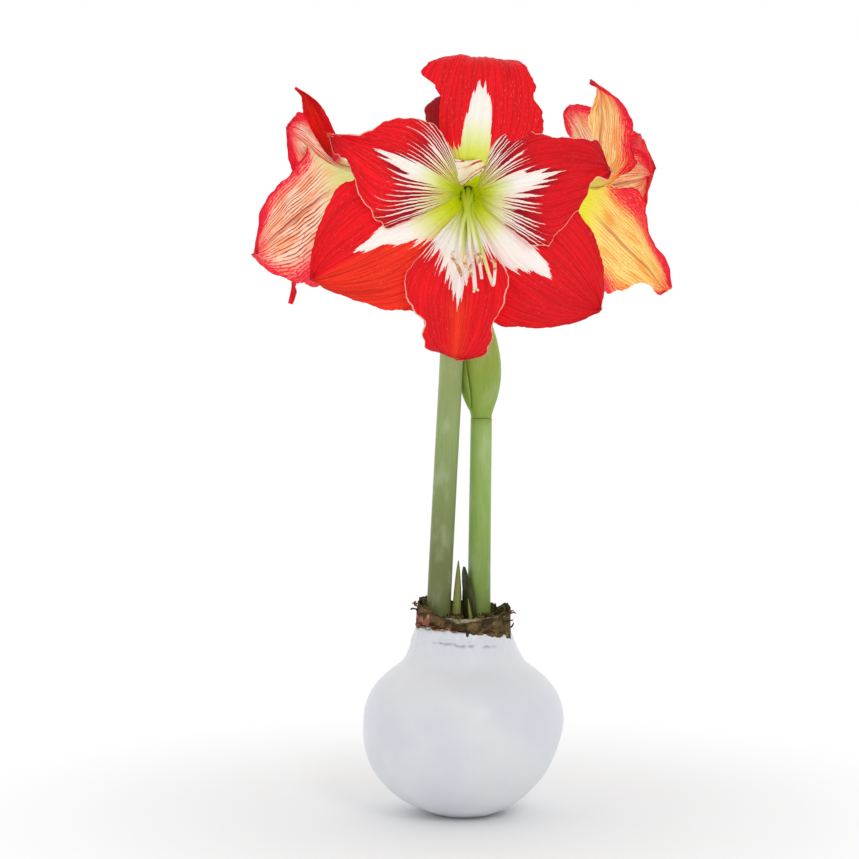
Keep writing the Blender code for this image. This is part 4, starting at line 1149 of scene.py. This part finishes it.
def turned_margin(bloom, index, first, last, red, depth, finish):
    """A stretch of a petal's ccw margin that is folded out of sight behind it, so that only its rim shows."""
    form = bloom.petals[index]
    stations = midrib(form, bloom.opening)
    bm, points = sheet(36, 14)
    rows = []
    for vert, run, out in points:
        share = first + (last - first) * run
        margin = petal_point(form, stations, share, 1.0)[0]
        aside = (margin - petal_point(form, stations, share, 0.86)[0]).normalized()
        inward = stations[round(share * MIDRIB_STEPS)][2]
        wavering = 1 + 0.25 * uneven(run * 5, 0.0, 9.99)
        width = FOLD_WIDTH * sin(pi * run) ** 0.7 * wavering
        vert.co = margin + aside * (width * out - 0.0022) - inward * (0.0014 + 0.0030 * out * out)
        rows.append({"along": share, "across": 0.2 + 0.5 * out, "red": red, "edge": (1 - out) * width * 1000,
                     "rim": 1.0, "depth": depth, "comb": 0.95})
    write_marks(bm, rows)
    in_place(bm, bloom)
    name = f"{bloom.name}_fold_{round(first * 100)}"
    put(name, bm, [finish], bloom.name, wall=PETAL_THICKNESS)


def tube(bloom, finish):
    """The short funnel that the six petals grow from."""
    tip = TUBE_RADIUS + TUBE_LENGTH * tan(radians(TUBE_LEAN))
    bm = bmesh.new()
    turned(bm, [
        (0.0, 0.0), (TUBE_RADIUS - 0.0008, 0.0), (TUBE_RADIUS - 0.0002, 0.0006), (TUBE_RADIUS, 0.0016),
        (tip, TUBE_LENGTH), (tip - TUBE_WALL, TUBE_LENGTH), (TUBE_RADIUS - TUBE_WALL + 0.0003, 0.0024),
        (0.0, 0.0020),
    ], 60)
    in_place(bm, bloom)
    put(bloom.name + "_tube", bm, [finish], bloom.name)


def throat_flap(finish):
    """The small folded lobe that hangs from the top petal's foot over the front bloom's throat."""
    stations = midrib(FRONT_BLOOM.petals[0], FRONT_BLOOM.opening)
    bm, points = sheet(40, 24)
    rows = []
    for vert, share, up in points:
        corner = (abs(2 * share - 1) ** 3) * (0.5 - up) * 0.0050
        x = -0.0105 + 0.0185 * share
        low = 0.0044 + 0.0066 * share ** 1.8 + corner + 0.0007 * sin(11 * share)
        top = 0.0176 + 0.0006 * sin(7 * share + 1.0)
        y = low + (top - low) * up
        behind = min(stations, key=lambda station: abs(station[0].y - y))[0].z
        stand = 0.0046 * (1 - up) ** 1.5 + 0.0010
        z = behind + stand + 0.0007 * sin(8 * share + 3 * up) - 0.0016 * (2 * share - 1) ** 2
        vert.co = Vector((x, y, z))
        rows.append({"along": 0.50 - 0.02 * up - 0.06 * share, "across": 0.28 + 0.28 * up - 0.12 * share,
                     "red": 0.20 * share, "seed": 7.0})
    write_marks(bm, rows)
    in_place(bm, FRONT_BLOOM)
    put("throat_flap", bm, [finish], "bloom_front", wall=PETAL_THICKNESS)


# The six filaments and then the style, in millimetres right and up as seen from in front of a bloom: the
# points that each one passes where it leaves the bundle, and the three points of its curved anther.
STAMENS = (
    (((-2.6, -14.0), (-4.4, -26.0), (-5.6, -31.5)), ((-7.6, -27.0), (-8.0, -30.2), (-6.2, -33.2))),
    (((-1.6, -15.0), (-3.2, -28.0), (-3.6, -38.0), (-2.6, -43.6)),
     ((-6.0, -33.4), (-4.6, -36.2), (-3.6, -39.6))),
    (((0.2, -15.0), (0.6, -26.0), (1.6, -32.0)), ((-0.4, -28.6), (-2.2, -31.4), (-1.2, -35.0))),
    (((1.6, -14.0), (3.6, -25.0), (4.4, -28.6)), ((3.2, -28.2), (6.0, -29.6), (4.8, -33.2))),
    (((3.2, -14.0), (6.6, -27.0), (10.6, -40.0), (12.2, -43.8), (13.0, -36.0)),
     ((10.6, -31.0), (12.6, -32.8), (12.8, -36.4))),
    (((2.6, -15.0), (4.6, -28.0), (6.0, -37.0), (6.4, -40.4)), ((1.4, -33.4), (0.6, -36.4), (1.6, -39.4))),
    (((0.8, -15.0), (1.0, -27.0), (2.4, -36.0), (3.2, -46.0)), ()),
)


def stamens(bloom, thread, pollen):
    """The pollen stalks with their curved anthers, and the longer style with its three-parted tip."""
    is_front = bloom is FRONT_BLOOM
    reach = 1.0 if is_front else 0.72
    node = bloom.name.replace("bloom", "stamens")
    for index, (passed, anther) in enumerate(STAMENS):
        turn = tau * index / 6 + 0.4
        ring = 0.0016 if anther else 0.0
        foot = Vector((ring * cos(turn), ring * sin(turn), 0.0026))
        route = [foot, Vector((foot.x * 1.5, foot.y * 1.2 - 0.0005, 0.0220 * reach))]
        for step, (x, y) in enumerate(passed, 1):
            out = 0.0300 + 0.0350 * (step / len(passed)) ** 0.7
            route.append(Vector((x, y, out * 1000)) * (0.001 * reach))
        path = smooth_path(route, 8)
        bm = bmesh.new()
        slim = 0.0005 if anther else 0.0002
        swept(bm, path, [0.00125 - slim * row / len(path) for row in range(len(path))], 14)
        if not anther:
            tip = path[-1]
            for lobe in range(3):
                lean = Vector((cos(lobe * 2.1), sin(lobe * 2.1) * 0.6, 0.5)) * 0.0016
                swept(bm, smooth_path([tip, tip + lean * 0.6, tip + lean - Vector((0, 0.0005, 0))], 4),
                      [0.0006] * 9, 8)
        in_place(bm, bloom)
        put(f"{node}_filament_{index}" if anther else f"{node}_style", bm, [thread], node)
        if not anther:
            continue
        depth = path[-1].z + 0.0008
        start, middle, end = (Vector((x * 0.001 * reach, y * 0.001 * reach, depth)) for x, y in anther)
        path = smooth_path([start, middle + lift(0.0006), end], 9)
        rows = len(path)
        radii = [0.00035 + 0.00055 * sin(pi * (row + 0.5) / rows) ** 0.6 for row in range(rows)]
        bm = bmesh.new()
        swept(bm, path, radii, 12, flatness=0.8)
        in_place(bm, bloom)
        put(f"{node}_anther_{index}", bm, [pollen], node)


def plant():
    """Makes every shown piece of the plant."""
    wax_coat()
    collar()
    bloom_scape()
    bud_scape()
    bud()
    olive = leaf_skin("leaf_olive", (150, 160, 84), (120, 122, 44), NECK_FLOOR, 0.134)
    dark = leaf_skin("leaf_dark", (84, 100, 46), (52, 66, 30), NECK_FLOOR, 0.134)
    # Each leaf: where it stands, its height, its half-width and where its tip is.
    young_leaf("leaf_tip_tall", TALL_LEAF_FOOT, 0.0317, 0.0024, (-0.0030, -0.0040), olive)
    young_leaf("leaf_tip_back", BACK_LEAF_FOOT, 0.0305, 0.0022, (-0.0026, 0.0042), dark)
    young_leaf("leaf_tip_short", SHORT_LEAF_FOOT, 0.0120, 0.0021, (0.0022, -0.0056), olive)
    leaf_sheath(leaf_skin("sheath_olive", (74, 72, 38), (62, 66, 34), NECK_FLOOR, 0.131))
    dry = withered_skin()
    withered_bract("spathe_bract_left", angle=205, reach=0.0175, drop=0.0440, finish=dry)
    withered_bract("spathe_bract_back", angle=55, reach=0.0160, drop=0.0400, finish=dry)
    face, back, thread, pollen = petal_face(), petal_back(), cream_thread(), anther_skin()
    throat = stalk_skin("tube_green", (176, 188, 84), (186, 196, 92), (196, 204, 104), 0.30, 0.36)
    for bloom in BLOOMS:
        tube(bloom, throat)
        for index in range(len(bloom.petals)):
            petal(bloom, index, [face, back])
        stamens(bloom, thread, pollen)
    throat_flap(face)
    # Two folded stretches of the top petal's margin, darkened by depth as painted shade.
    turned_margin(FRONT_BLOOM, 0, first=0.42, last=0.63, red=2.6, depth=0.35, finish=face)
    turned_margin(FRONT_BLOOM, 0, first=0.34, last=0.53, red=0.36, depth=0.6, finish=face)


def studio():
    """A pale floor, soft white light from all round with a brighter side, and the camera."""
    bm = bmesh.new()
    bmesh.ops.create_circle(bm, cap_ends=True, segments=96, radius=FLOOR_RADIUS)
    floor = mesh_object("floor", bm, [white_floor()])
    world = bpy.data.worlds.new("white_room")
    bpy.context.scene.world = world
    room = Finish("white_room", {"Color": (1, 1, 1, 1)}, room=world)
    way = room.node("ShaderNodeTexCoord", output="Generated")
    ahead = room.node("ShaderNodeSeparateXYZ", None, {0: way}, output="Y")
    above = room.node("ShaderNodeSeparateXYZ", None, {0: way}, output="Z")
    seen = room.node("ShaderNodeLightPath", output="Is Camera Ray")
    lit = 0.66 + ahead.between(0.1, 0.8) * 0.38 + above.between(0.1, 1.0) * 0.10
    room.give("Strength", lit * (1 - seen) + seen)
    for name, (spot, size, power) in LAMPS.items():
        lamp = bpy.data.lights.new(name, "AREA")
        lamp.size = size
        lamp.energy = power
        light = place_object(name, lamp)
        light.location = spot
        aim = lift(0.2) - Vector(spot)
        light.rotation_euler = aim.to_track_quat("-Z", "Y").to_euler()
    lens = bpy.data.cameras.new("camera")
    lens.sensor_width = SENSOR_WIDTH
    lens.lens = FOCAL_PIXELS * SENSOR_WIDTH / PHOTO_WIDTH
    camera = place_object("camera", lens)
    camera.location = CAMERA_PLACE
    camera.rotation_euler = (radians(90 - CAMERA_TILT), 0, 0)
    bpy.context.scene.camera = camera
    bpy.context.scene.view_settings.view_transform = "Standard"


plant()
studio()
